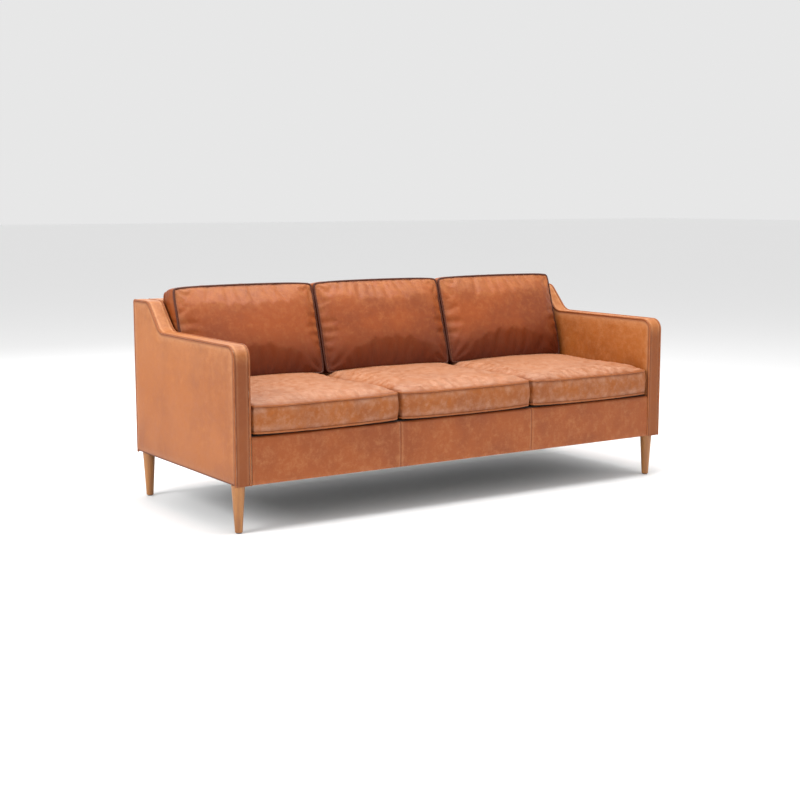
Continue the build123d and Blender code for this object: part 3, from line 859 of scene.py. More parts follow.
@dataclass
class Arm:
    """One arm's leather: outside and inside panels, the strip round its edge and its two welts."""

    side: Side
    outline: ArmOutline = field(default_factory=ArmOutline)
    half_width: float = 1028.5 * MM
    thickness: float = 68 * MM
    welt: float = 3.6 * MM
    skin: float = 1.5 * MM
    bulge: float = 4.0 * MM

    @property
    def word(self) -> str:
        """The side's name."""
        return self.side.name.lower()

    def panel(
        self, name: str, x: float, outward_x: float, bottom: float, inset: float, seed: int
    ) -> bpy.types.Object:
        """A side panel: columns from its bottom edge to the rim, swelling off the welts.

        Point (u, v) lies at the rim's Y drawn towards the middle, and a share v of the height; its
        swell is bulge x (1 - exp(-d / 18 mm)) for d from the welt, with slow ripples.

        Args:
            name: the object's name.
            x: the panel's plane at the welt.
            outward_x: the sign of X that the panel faces.
            bottom: its lower edge.
            inset: distance of its rim inside the arm's outline.
            seed: seed of the ripples.

        Returns:
            The object.
        """
        rim = self.outline.line(inset, 400)
        low, high = rim[:, 0].min(), rim[:, 0].max()
        y = 0.5 * (low + high) - 0.5 * (high - low) * np.cos(np.linspace(0, math.pi, 150))
        order = np.argsort(rim[:, 0], kind="stable")
        top = np.interp(y, rim[order, 0], rim[order, 1])
        top[0], top[-1] = top[1] - 12 * MM, top[-2] - 3 * MM
        v = 0.5 - 0.5 * np.cos(np.linspace(0, math.pi, 90))
        z = bottom + (top[:, None] - bottom) * v[None, :]
        yy = np.broadcast_to(y[:, None], z.shape)
        ends = np.minimum(yy - low, high - yy)
        edge = np.minimum(np.minimum(ends, z - bottom), (top[:, None] - z) * 0.8)
        swell = self.bulge * (1 - np.exp(-np.maximum(edge, 0) / (14 * MM)))
        flat = np.stack([np.full_like(z, x), yy, z], axis=-1)
        slow = ripple(flat, seed, 9, 120 * MM) * 1.1 * MM * smooth(0.0, 60 * MM, edge)
        pucker = ripple(flat, seed + 5, 16, 22 * MM) * 0.45 * MM * np.exp(-edge / (22 * MM))
        pucker = pucker * smooth(0, 5 * MM, edge)
        outer = flat.copy()
        outer[..., 0] += outward_x * (swell + slow + pucker - 2.0 * MM)
        inner = outer.copy()
        inner[..., 0] -= outward_x * self.skin
        rub_and_sheen = 0.75 * np.exp(-np.abs(edge - 7 * MM) / (9 * MM)) + 0.20 * smooth(0.45, 0.70, z)
        # darker near the welts: painted shade in the seam recess, partly the leather's own darker tone;
        # darker towards the bottom edge: painted shade
        tone_and_shade = 1.2 * np.exp(-edge / (5.5 * MM)) + 0.25 * np.exp(-(z - bottom) / (60 * MM))
        marks = {"rub_and_sheen": rub_and_sheen, "tone_and_shade": tone_and_shade, "seam_off": np.maximum(edge, 0), "seam_run": yy + z}
        return slab(name, outer, inner, marks)

    def strip(self) -> bpy.types.Object:
        """The boxing between the welts: a crowned strip carried round the rim.

        Across the strip the surface rises by 2.5 mm x (1 - s^4), s from -1 to 1.

        Returns:
            The object.
        """
        rim = self.outline.line(2.6 * MM, 520)
        inside = self.outline.line(7.0 * MM, 520)
        keep = rim[:, 0] < 428 * MM
        keep &= np.arange(len(rim)) < np.argmax(rim[:, 0] > 428 * MM)
        rim, inside = rim[keep], inside[keep]
        inward = inside - rim
        inward /= np.maximum(np.linalg.norm(inward, axis=1, keepdims=True), 1e-9)
        s = np.sin(np.linspace(-math.pi / 2, math.pi / 2, 19))
        middle = self.half_width - self.thickness / 2
        half = self.thickness / 2 - 2 * self.welt + 1.2 * MM
        x = self.side.value * (middle + s * half)
        rise = 2.5 * MM * (1 - s**4) - 0.9 * MM
        across = np.broadcast_to(x[None, :, None], (len(rim), len(x), 1))
        along = np.broadcast_to(rim[:, None], (len(rim), len(x), 2))
        flat = np.concatenate([across, along], axis=-1)
        fine = ripple(flat, 31 + self.side.value, 14, 30 * MM)
        rise = rise[None, :] + fine * 0.5 * MM * (1 - s**2)[None, :]
        outer = flat.copy()
        outer[..., 1:] -= inward[:, None] * rise[..., None]
        inner = outer.copy()
        inner[..., 1:] += inward[:, None] * self.skin
        rub_and_sheen = np.broadcast_to(0.55 * np.exp(-((np.abs(s) - 0.72) ** 2) / 0.02), rise.shape)
        rub_and_sheen = rub_and_sheen + 0.35 * smooth(0.60, 0.68, flat[..., 2])
        # darker at the strip's edges: painted shade by the welts, partly the leather's own darker tone
        tone_and_shade = np.broadcast_to(np.exp(-(1 - np.abs(s)) / 0.08), rise.shape)
        # darker below the arm top, on the front face: painted shade of a face turned from the key light
        tone_and_shade = np.clip(tone_and_shade + 0.60 * (1 - smooth(0.60, 0.67, flat[..., 2])), 0, 1)
        return slab(f"{self.word}_arm_edge_strip", outer, inner, {"rub_and_sheen": rub_and_sheen, "tone_and_shade": tone_and_shade})

    def welts(self) -> list[bpy.types.Object]:
        """The cords along both rims; the outer one runs on down the back corner.

        Returns:
            The two objects.
        """
        rim = self.outline.line(self.welt, 420)
        made = []
        outer_x, inner_x = self.half_width - self.welt, self.half_width - self.thickness + self.welt
        for word, x, whole in (("outer", outer_x, True), ("inner", inner_x, False)):
            line = rim if whole else rim[: np.argmax(rim[:, 0] > 427 * MM)]
            path = np.concatenate([np.full((len(line), 1), self.side.value * x), line], axis=1)
            made.append(tube(f"{self.word}_arm_{word}_welt", path, np.array([1.0, 0, 0]), self.welt, False))
        return made

    def build(self, finishes: Finishes) -> list[bpy.types.Object]:
        """Makes and dresses the arm's pieces.

        Args:
            finishes: the materials.

        Returns:
            The pieces.
        """
        sign = self.side.value
        inner_x = self.half_width - self.thickness
        inset = 6.2 * MM
        word = f"{self.word}_arm"
        outer_x = sign * self.half_width
        outside = self.panel(f"{word}_outside_leather", outer_x, sign, 184 * MM, inset, 11 + sign)
        inside = self.panel(f"{word}_inside_leather", sign * inner_x, -sign, 340 * MM, inset, 17 + sign)
        strip = self.strip()
        for piece, node in ((outside, "outside_panel"), (inside, "inside_panel"), (strip, "boxing")):
            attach(dress(piece, finishes.body), "frame")
            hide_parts(f"{self.word}_arm_{node}")
        welts = self.welts()
        for piece in welts:
            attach(dress(piece, finishes.welt), "frame")
            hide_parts(f"{self.word}_arm_welts")
        return [outside, inside, strip, *welts]


# ------------------------------------------------------------------ fixed leather


@dataclass
class Body:
    """The leather stretched on the frame between the arms: front rail, inside back, outside back."""

    half: float = 959.0 * MM
    front_y: float = -433.0 * MM
    rail_top: float = 352 * MM
    bottom: float = 177 * MM
    seams: tuple[float, float] = (-319.4 * MM, 319.4 * MM)
    lean: float = math.radians(6.4)

    def front_rail(self) -> bpy.types.Object:
        """The front rail's cover: a profile of face, round top edge and top flap, carried along X.

        The face swells 2.2 mm between its edges and dips 1.6 mm at each vertical seam as exp(-d / 3 mm).

        Returns:
            The object.
        """
        fold = np.linspace(0, math.pi / 2, 9)
        round_edge = 9 * MM
        arc_y, arc_z = round_edge * (1 - np.cos(fold)), self.rail_top - round_edge + round_edge * np.sin(fold)
        arc = np.stack([arc_y, arc_z], axis=1)
        turned_under = ((17, 0), (8, 0), (1.2, 0.4), (0, 3))
        under = np.array([(y * MM, self.bottom + z * MM) for y, z in turned_under])
        rise = np.linspace(self.bottom + 8 * MM, self.rail_top - round_edge - 2 * MM, 36)
        face = np.stack([np.zeros_like(rise), rise], axis=1)
        profile = np.concatenate([under, face, arc, [(16 * MM, self.rail_top)]])
        x = np.linspace(-self.half, self.half, 500)
        near = np.sort(np.concatenate([x, *[s + np.linspace(-9, 9, 15) * MM for s in self.seams]]))
        y, z = self.front_y + profile[None, :, 0], profile[None, :, 1]
        base = np.stack(np.broadcast_arrays(near[:, None], y, z), axis=-1).copy()
        height = np.clip((profile[:, 1] - self.bottom) / (self.rail_top - self.bottom), 0, 1)
        facing = (profile[:, 0] < 1 * MM).astype(float)
        away = np.min(np.abs(near[:, None] - np.array(self.seams)[None]), axis=1)
        swell = 2.2 * MM * (4 * height * (1 - height)) ** 0.7 * facing
        dip = 1.6 * MM * np.exp(-away / (3 * MM)) - 0.9 * MM * np.exp(-(((away - 8 * MM) / (5 * MM)) ** 2))
        slow = ripple(base, 41, 12, 90 * MM) * 0.8 * MM
        base[..., 1] -= swell[None] + (slow - dip[:, None]) * facing[None]
        inner = base + np.array([0, self.skin_depth(), 0.0])
        inner[..., 2] = np.clip(inner[..., 2], self.bottom + 1.2 * MM, self.rail_top - 1.5 * MM)
        # darker at the vertical seams: painted shade in the seam dip, partly the leather's own darker tone
        tone_and_shade = 0.9 * np.exp(-away / (1.3 * MM))[:, None]
        # darker towards the top edge: painted shadow under the overhanging seat cushions
        tone_and_shade = tone_and_shade + 0.35 * np.exp(-(self.rail_top - profile[:, 1]) / (16 * MM))[None]
        rub_and_sheen = np.broadcast_to(0.35 * np.exp(-(profile[:, 1] - self.bottom) / (6 * MM))[None], tone_and_shade.shape)
        rub_and_sheen = rub_and_sheen + 0.3 * np.exp(-np.abs(away - 6 * MM) / (5 * MM))[:, None]
        beside = np.broadcast_to(away[:, None], tone_and_shade.shape)
        run = np.broadcast_to(profile[None, :, 1], tone_and_shade.shape)
        marks = {"tone_and_shade": tone_and_shade, "rub_and_sheen": rub_and_sheen, "seam_off": beside, "seam_run": run}
        return slab("front_rail_leather", base, inner, marks)

    @staticmethod
    def skin_depth() -> float:
        """The leather's thickness in metres."""
        return 1.5 * MM

    def back_y(self, z: Array) -> Array:
        """The Y of the leaning inside face at height z."""
        return 275 * MM + (z - 352 * MM) * math.tan(self.lean)

    def inside_back(self) -> bpy.types.Object:
        """The inside back: the leaning face, its round top edge and the top strip, carried along X.

        Returns:
            The object.
        """
        top = 796.5 * MM
        up = np.linspace(352 * MM, 780 * MM, 44)
        lean = np.stack([self.back_y(up), up], axis=1)
        turn = np.linspace(0.1, math.pi / 2, 8)
        centre = np.array([self.back_y(np.array(782 * MM)) + 14 * MM, top - 14 * MM])
        arc = np.stack([centre[0] - 14 * MM * np.cos(turn), centre[1] + 14 * MM * np.sin(turn)], axis=1)
        flat = np.linspace(centre[0] + 6 * MM, 427 * MM, 12)
        profile = np.concatenate([lean, arc, np.stack([flat, np.full_like(flat, top)], axis=1)])
        x = np.linspace(-self.half, self.half, 260)
        y, z = profile[None, :, 0], profile[None, :, 1]
        base = np.stack(np.broadcast_arrays(x[:, None], y, z), axis=-1).copy()
        way = np.gradient(profile, axis=0)
        way /= np.linalg.norm(way, axis=1, keepdims=True)
        normal = np.stack([-way[:, 1], way[:, 0]], axis=1)
        lift = ripple(base, 53, 12, 110 * MM) * 1.0 * MM
        base[..., 1:] += normal[None] * lift[..., None] * 0.6
        inner = base.copy()
        inner[..., 1:] -= normal[None] * self.skin_depth()
        rub_and_sheen = np.broadcast_to(0.5 * smooth(0.780, 0.796, profile[:, 1])[None], lift.shape)
        return slab("inside_back_leather", base, inner, {"rub_and_sheen": rub_and_sheen, "tone_and_shade": rub_and_sheen * 0})

    def outside_back(self) -> bpy.types.Object:
        """The outside back: one wide panel that swells 3 mm off its edges, with slow ripples.

        Returns:
            The object.
        """
        half, low, high = 1021.6 * MM, 179 * MM, 788.5 * MM
        x = half * np.sin(np.linspace(-math.pi / 2, math.pi / 2, 260))
        z = 0.5 * (low + high) + 0.5 * (high - low) * np.sin(np.linspace(-math.pi / 2, math.pi / 2, 100))
        xx, zz = np.meshgrid(x, z, indexing="ij")
        edge = np.minimum(np.minimum(half - np.abs(xx), zz - low), high - zz)
        outer = np.stack([xx, np.full_like(xx, 433 * MM), zz], axis=-1)
        slack = ripple(outer, 61, 12, 140 * MM) * 0.9 * MM * smooth(0, 0.06, edge)
        outer[..., 1] += 3.2 * MM * (1 - np.exp(-edge / (16 * MM))) + slack
        inner = outer - np.array([0, self.skin_depth(), 0])
        rub_and_sheen = 0.6 * np.exp(-np.abs(edge - 7 * MM) / (8 * MM))
        # darker right at the edges: painted shade at the seams, partly the leather's own darker tone
        tone_and_shade = 0.9 * np.exp(-edge / (2 * MM))
        return slab("outside_back_leather", outer, inner, {"rub_and_sheen": rub_and_sheen, "tone_and_shade": tone_and_shade})

    def top_welt(self) -> bpy.types.Object:
        """The welt along the top of the outside back.

        Returns:
            The object.
        """
        x = np.linspace(-1021.2 * MM, 1021.2 * MM, 300)
        path = np.stack([x, np.full_like(x, 431 * MM), np.full_like(x, 792 * MM)], axis=1)
        path[:, 1:] += ripple(path, 71, 8, 200 * MM)[:, None] * 0.2 * MM
        return tube("back_top_welt_leather", path, np.array([0, 0, 1.0]), 3.6 * MM, False)

    def build(self, finishes: Finishes) -> list[bpy.types.Object]:
        """Makes and dresses the fixed leather.

        Args:
            finishes: the materials.

        Returns:
            The pieces.
        """
        made = []
        for piece, node, slot, material in (
            (self.front_rail(), "front_rail_cover", "body_leather", finishes.front),
            (self.inside_back(), "inside_back_cover", "body_leather", finishes.body),
            (self.outside_back(), "outside_back_panel", "body_leather", finishes.body),
            (self.top_welt(), "back_top_welt", "welt_leather", finishes.welt),
        ):
            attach(dress(piece, material), "frame")
            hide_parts(node)
            made.append(piece)
        return made


# ------------------------------------------------------------------ cushions


def lattice(counts: tuple[int, int, int]) -> tuple[Array, Array]:
    """The surface of a box as a welded lattice.

    Args:
        counts: cells along the three sides.

    Returns:
        (n, 3) lattice coordinates from -1 to 1, and (m, 4) quads.
    """
    sheets, quads, start = [], [], 0
    for axis in range(3):
        u, v = [k for k in range(3) if k != axis]
        iu, iv = np.meshgrid(np.arange(counts[u] + 1), np.arange(counts[v] + 1), indexing="ij")
        for end in (0, counts[axis]):
            point = np.zeros((iu.size, 3), int)
            point[:, u], point[:, v], point[:, axis] = iu.ravel(), iv.ravel(), end
            faces = grid_faces(counts[u] + 1, counts[v] + 1)
            turned = (axis == 1) == (end == 0)
            quads.append((faces if turned else faces[:, ::-1]) + start)
            sheets.append(point)
            start += len(point)
    every = np.concatenate(sheets)
    points, back = np.unique(every, axis=0, return_inverse=True)
    return 2.0 * points / np.array(counts) - 1.0, back.reshape(-1)[np.concatenate(quads)]


@dataclass
class Cushion:
    """A loose boxed cushion: two panels, a boxing strip and a welt on each of its two seams.

    Its shape is a function of (s, t, w): s along X, t across the panels, w from one panel to the other.
    """

    part: Part
    centre_x: float
    half_x: float = 317 * MM
    welt: float = 4.2 * MM
    corner: float = 26 * MM
    pull: float = 3.5 * MM
    kind: str = "seat"
    fill: float = 0.8
    # lightening of the seat crown: wear from sitting, and a painted highlight of the sheen on top
    wear_and_sheen: float = 0.0
    slack: float = 0.024
    seed: int = 1

    @property
    def body(self) -> str:
        """The CAD body the cushion rides on."""
        return f"{self.kind}_cushion_{self.part.value}"

    def rounded(self, s: Array, t: Array, size: tuple[float, float]) -> tuple[Array, Array]:
        """Carries the square (s, t) to a plan with round corners and sides that pull in between them.

        The corner factor shortens the diagonal: p = p (1 - k (s t)^4), k from the corner's radius.

        Args:
            s: first coordinate, -1 to 1.
            t: second coordinate, -1 to 1.
            size: half lengths in metres.

        Returns:
            The two plan coordinates in metres.
        """
        k = 0.30 * self.corner / min(size)
        cut = 1 - k * (s * t) ** 8
        a = size[0] * s * cut - self.pull * np.sign(s) * np.abs(s) ** 3 * (1 - t**2)
        b = size[1] * t * cut - self.pull * np.sign(t) * np.abs(t) ** 3 * (1 - s**2)
        return a, b

    def shape(self, at: Array) -> Array:
        """Positions of lattice points; each kind of cushion has its own formula."""
        raise NotImplementedError

    def loop(self, w: float, count: int = 420) -> Array:
        """The seam at w = -1 or 1, as a loop of points around the cushion.

        Args:
            w: which seam.
            count: points round it.

        Returns:
            (count, 3) points.
        """
        quarter = np.linspace(-1, 1, 200, endpoint=False)
        one = np.ones_like(quarter)
        square = np.concatenate(
            [np.stack(pair) for pair in ((quarter, -one), (one, quarter), (-quarter, one), (-one, -quarter))],
            axis=1,
        )
        points = self.shape(np.stack([square[0], square[1], np.full(square.shape[1], w)], axis=1))
        closed = resample(np.concatenate([points, points[:1]]), count + 1)[:-1]
        blur = closed.copy()
        for _ in range(3):
            blur = (np.roll(blur, 1, axis=0) + 2 * blur + np.roll(blur, -1, axis=0)) / 4
        return blur

    def limits(self) -> tuple[Array, Array]:
        """The lowest and highest point that the cushion may reach."""
        raise NotImplementedError

    def settle(self, made: bpy.types.Object, seam: Array, cap: float) -> None:
        """Lets the cover swell and crease as cloth held at its seams, and applies the result.

        Args:
            made: the cushion's object.
            seam: 1 at points sewn to a welt, falling to 0 away from it.
            cap: how far a point may move, in metres.
        """
        mesh = made.data
        before = read_points(mesh)
        pins = made.vertex_groups.new(name="sewn")
        for step in range(1, 6):
            chosen = np.nonzero(np.round(seam * 5) == step)[0]
            if len(chosen):
                pins.add(chosen.tolist(), step / 5, "REPLACE")
        cloth = made.modifiers.new("cover", "CLOTH")
        settings = cloth.settings
        settings.vertex_group_mass = "sewn"
        settings.use_pressure = True
        settings.uniform_pressure_force = 3.0
        settings.effector_weights.gravity = 0.0
        settings.quality = 4
        settings.mass = 0.35
        settings.bending_stiffness = 1.5
        settings.tension_stiffness = 22
        settings.compression_stiffness = 14
        settings.shrink_min = settings.shrink_max = -self.slack
        cloth.collision_settings.use_collision = False
        scene = bpy.context.scene
        for frame_number in range(1, 19):
            scene.frame_set(frame_number)
        graph = bpy.context.evaluated_depsgraph_get()
        after = read_points(made.evaluated_get(graph).data)
        made.modifiers.remove(cloth)
        made.vertex_groups.clear()
        scene.frame_set(1)
        move = after - before
        length = np.linalg.norm(move, axis=1, keepdims=True)
        move *= np.minimum(1.0, cap / np.maximum(length, 1e-9))
        write_points(mesh, before + move)

    def cover(self, cells: tuple[int, int, int]) -> bpy.types.Object:
        """The leather cover: the welded lattice, shaped, settled as cloth and subdivided once.

        Args:
            cells: lattice cells along s, t and w.

        Returns:
            The object.
        """
        at, faces = lattice(cells)
        points = self.shape(at)
        off = np.minimum(1 - np.abs(at[:, 0]), 1 - np.abs(at[:, 1]))
        made = outward(make_mesh(f"{self.body}_leather", points, faces))
        seam = (np.abs(np.abs(at[:, 2]) - 1) < 1e-6) & (off < 1e-6)
        self.settle(made, seam.astype(float), self.cap())
        low, high = self.limits()
        settled = read_points(made.data)
        write_points(made.data, soft_limits(settled, low, high))
        marks = self.marks(at, points)
        for key, values in marks.items():
            attribute = made.data.attributes.new(key, "FLOAT", "POINT")
            attribute.data.foreach_set("value", values.astype(np.float32))
        finer = made.modifiers.new("finer", "SUBSURF")
        finer.levels = finer.render_levels = 1
        return made

    def cap(self) -> float:
        """How far the cloth may move from the drawn shape."""
        return 22 * MM

    def core(self) -> bpy.types.Object:
        """The filling: the cover's form drawn in towards its middle by 16 mm on each side.

        Returns:
            The object.
        """
        at, faces = lattice((28, 28, 6))
        points = self.shape(at)
        low, high = points.min(axis=0), points.max(axis=0)
        middle, half = (low + high) / 2, (high - low) / 2
        drawn = middle + (points - middle) * (1 - 16 * MM / half)
        return outward(make_mesh(f"{self.body}_filling", drawn, faces))

    def marks(self, at: Array, points: Array) -> dict[str, Array]:
        """Where the leather is lightened or darkened: darker near the seams as painted shade and its own
        darker tone, lighter by wear near the seams and in the corners, and lighter on the crown by wear and
        painted sheen.

        Args:
            at: lattice coordinates.
            points: positions.

        Returns:
            Attribute name to one number per point.
        """
        off = np.minimum(1 - np.abs(at[:, 0]), 1 - np.abs(at[:, 1])) * 0.32
        panel = np.abs(at[:, 2]) > 0.999
        from_seam = np.where(panel, off, (1 - np.abs(at[:, 2])) * 0.05)
        streaks = 0.5 + 0.5 * ripple(points, self.seed + 3, 14, 35 * MM)
        # darker near the seams: painted shade in the seam recesses, partly the pull-up leather's own darker
        # tone
        tone_and_shade = 1.0 * np.exp(-from_seam / (4 * MM)) + 0.35 * np.exp(-from_seam / (35 * MM)) * streaks
        rub_and_sheen = 0.55 * np.exp(-np.abs(from_seam - 14 * MM) / (14 * MM)) * streaks
        # seat crown lightened: wear from sitting, and a painted highlight of the sheen on top
        rub_and_sheen = rub_and_sheen + self.wear_and_sheen * (at[:, 2] > 0.999) * smooth(0, 40 * MM, from_seam)
        run = points.sum(axis=1)
        off = np.where(panel, off, 0)
        return {"tone_and_shade": np.clip(tone_and_shade, 0, 1), "rub_and_sheen": np.clip(rub_and_sheen, 0, 1), "seam_off": off, "seam_run": run}

    def zip_plane(self) -> tuple[Array, Array, Array]:
        """The zip's middle, the direction across it and the direction out of the cover."""
        raise NotImplementedError

    def zip_chain(self) -> bpy.types.Object:
        """The zip: a low rounded tape with teeth raised along X as |sin| of a 2.5 mm step.

        Returns:
            The object.
        """
        middle, across, out = self.zip_plane()
        x = np.linspace(-230 * MM, 230 * MM, 737)
        s = np.linspace(-1, 1, 13)
        teeth = np.abs(np.sin(x * math.pi / (2.5 * MM)))[:, None] * smooth(0.0, 0.35, 0.5 - np.abs(s))[None]
        height = 0.5 * MM * (1 - s**6)[None] + 0.9 * MM * teeth
        half = 8 * MM
        line = np.array([1.0, 0, 0])
        base = middle + x[:, None, None] * line + (s * half)[None, :, None] * across
        return slab(f"{self.body}_zip_chain", base + height[..., None] * out, base - 0.6 * MM * out)

    def build(self, finishes: Finishes) -> list[bpy.types.Object]:
        """Makes and dresses the cushion's pieces.

        Args:
            finishes: the materials.

        Returns:
            The pieces.
        """
        leather = finishes.seat if self.kind == "seat" else finishes.back
        cover = dress(self.cover(self.cells()), leather)
        made = [cover]
        for word, w, material in self.welt_rows(finishes):
            path = self.loop(w)
            low, high = self.limits()
            path = soft_limits(path, low + self.welt * 0.6, high - self.welt * 0.6)
            welt = tube(f"{self.body}_{word}_welt", path, self.facing(), self.welt, True)
            made.append(dress(welt, material))
        chain = dress(self.zip_chain(), finishes.zip)
        made.append(chain)
        for piece in made:
            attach(piece, self.body)
            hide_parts(f"{self.body}_cover")
        seat = self.kind == "seat"
        core = dress(self.core(), finishes.foam if seat else finishes.filling)
        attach(core, self.body)
        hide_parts(f"{self.body}_{'core' if seat else 'insert'}")
        return [*made, core]

    def cells(self) -> tuple[int, int, int]:
        """Lattice cells along s, t and w."""
        return (70, 76, 12)

    def facing(self) -> Array:
        """The direction that the cushion's panels face."""
        return np.array([0, 0, 1.0])

    def welt_rows(self, finishes: Finishes) -> list[tuple[str, float, bpy.types.Material]]:
        """Name, seam and material of each welt."""
        return [("lower", -1.0, finishes.welt), ("upper", 1.0, finishes.welt)]


def read_points(mesh: bpy.types.Mesh) -> Array:
    """A mesh's points as an (n, 3) array."""
    points = np.zeros(len(mesh.vertices) * 3, np.float32)
    mesh.vertices.foreach_get("co", points)
    return points.reshape(-1, 3).astype(float)


def write_points(mesh: bpy.types.Mesh, points: Array) -> None:
    """Puts an (n, 3) array of points into a mesh."""
    mesh.vertices.foreach_set("co", np.ascontiguousarray(points, np.float32).ravel())
    mesh.update()


def soft_limits(points: Array, low: Array, high: Array) -> Array:
    """Holds points inside a box, easing the last 3 mm as ease x tanh(over / ease).

    Args:
        points: (n, 3) positions.
        low: lowest corner.
        high: highest corner.

    Returns:
        The held positions.
    """
    ease = 2.5 * MM
    over = np.maximum(points - (high - ease), 0)
    held = np.where(over > 0, high - ease + ease * np.tanh(over / ease), points)
    under = np.maximum((low + ease) - held, 0)
    return np.where(under > 0, low + ease - ease * np.tanh(under / ease), held)


@dataclass
class SeatCushion(Cushion):
    """A seat cushion: s along X, t from the front to the back, w from the lower panel to the upper."""

    front: float = -437 * MM
    rear: float = 268 * MM
    box_low: float = 366 * MM
    box_high: float = 459 * MM
    crown: float = 32 * MM

    def shape(self, at: Array) -> Array:
        """Seat form: flat boxing, an upper panel that crowns as (1 - s^2)^0.27 (1 - t^2)^0.42.

        The lower panel sags 8 mm in the middle; the boxing swells 4 mm at half height, the seams
        dip 2 to 4 mm between the corners, and slow ripples break the crown.

        Args:
            at: (n, 3) lattice coordinates.

        Returns:
            (n, 3) positions.
        """
        s, t, w = at.T
        depth = (self.rear - self.front) / 2
        a, b = self.rounded(s, t, (self.half_x - self.welt * 0.4, depth))
        rim = np.maximum(np.abs(s), np.abs(t)) ** 24
        swell = 3.5 * MM * (1 - w**2) * rim
        a = a + np.sign(s) * swell * np.abs(s) ** 24 * 0.4
        b = b + np.sign(t) * swell * np.abs(t) ** 24
        dome = np.clip(1 - s**2, 0, 1) ** 0.27 * np.clip(1 - t**2, 0, 1) ** 0.42
        middle = (self.box_low + self.box_high) / 2
        half = (self.box_high - self.box_low) / 2
        z = middle + half * w
        lift = smooth(0.55, 1.0, np.abs(s)) * smooth(0.4, 1.0, np.abs(t))
        upper = np.clip(w, 0, 1)
        z = z + np.where(w > 0.999, self.crown * dome, 0) + upper * 3 * MM * lift
        z = z - np.where(w < -0.999, 7 * MM * dome, 0)
        z = z - np.clip(-w, 0, 1) * 5 * MM * (1 - s**2) * np.abs(t) ** 4
        flat = np.stack([self.centre_x + a, (self.front + self.rear) / 2 + b, z], axis=1)
        flat[:, 2] += ripple(flat, self.seed, 10, 130 * MM) * 2.6 * MM * dome * (w > 0.999)
        return flat

    def limits(self) -> tuple[Array, Array]:
        """Sides 1.2 mm short of the middle of the gap, underside just clear of the deck."""
        room = self.half_x + 1.2 * MM
        low = np.array([self.centre_x - room, self.front - 6 * MM, 355.2 * MM])
        return low, np.array([self.centre_x + room, self.rear + 1 * MM, 503 * MM])

    def cap(self) -> float:
        """How far the cloth may move from the drawn shape."""
        return 8 * MM

    def zip_plane(self) -> tuple[Array, Array, Array]:
        """The zip along the rear boxing."""
        at = np.array([self.centre_x, self.rear + 0.4 * MM, 414 * MM])
        return at, np.array([0, 0, 1.0]), np.array([0, 1.0, 0])


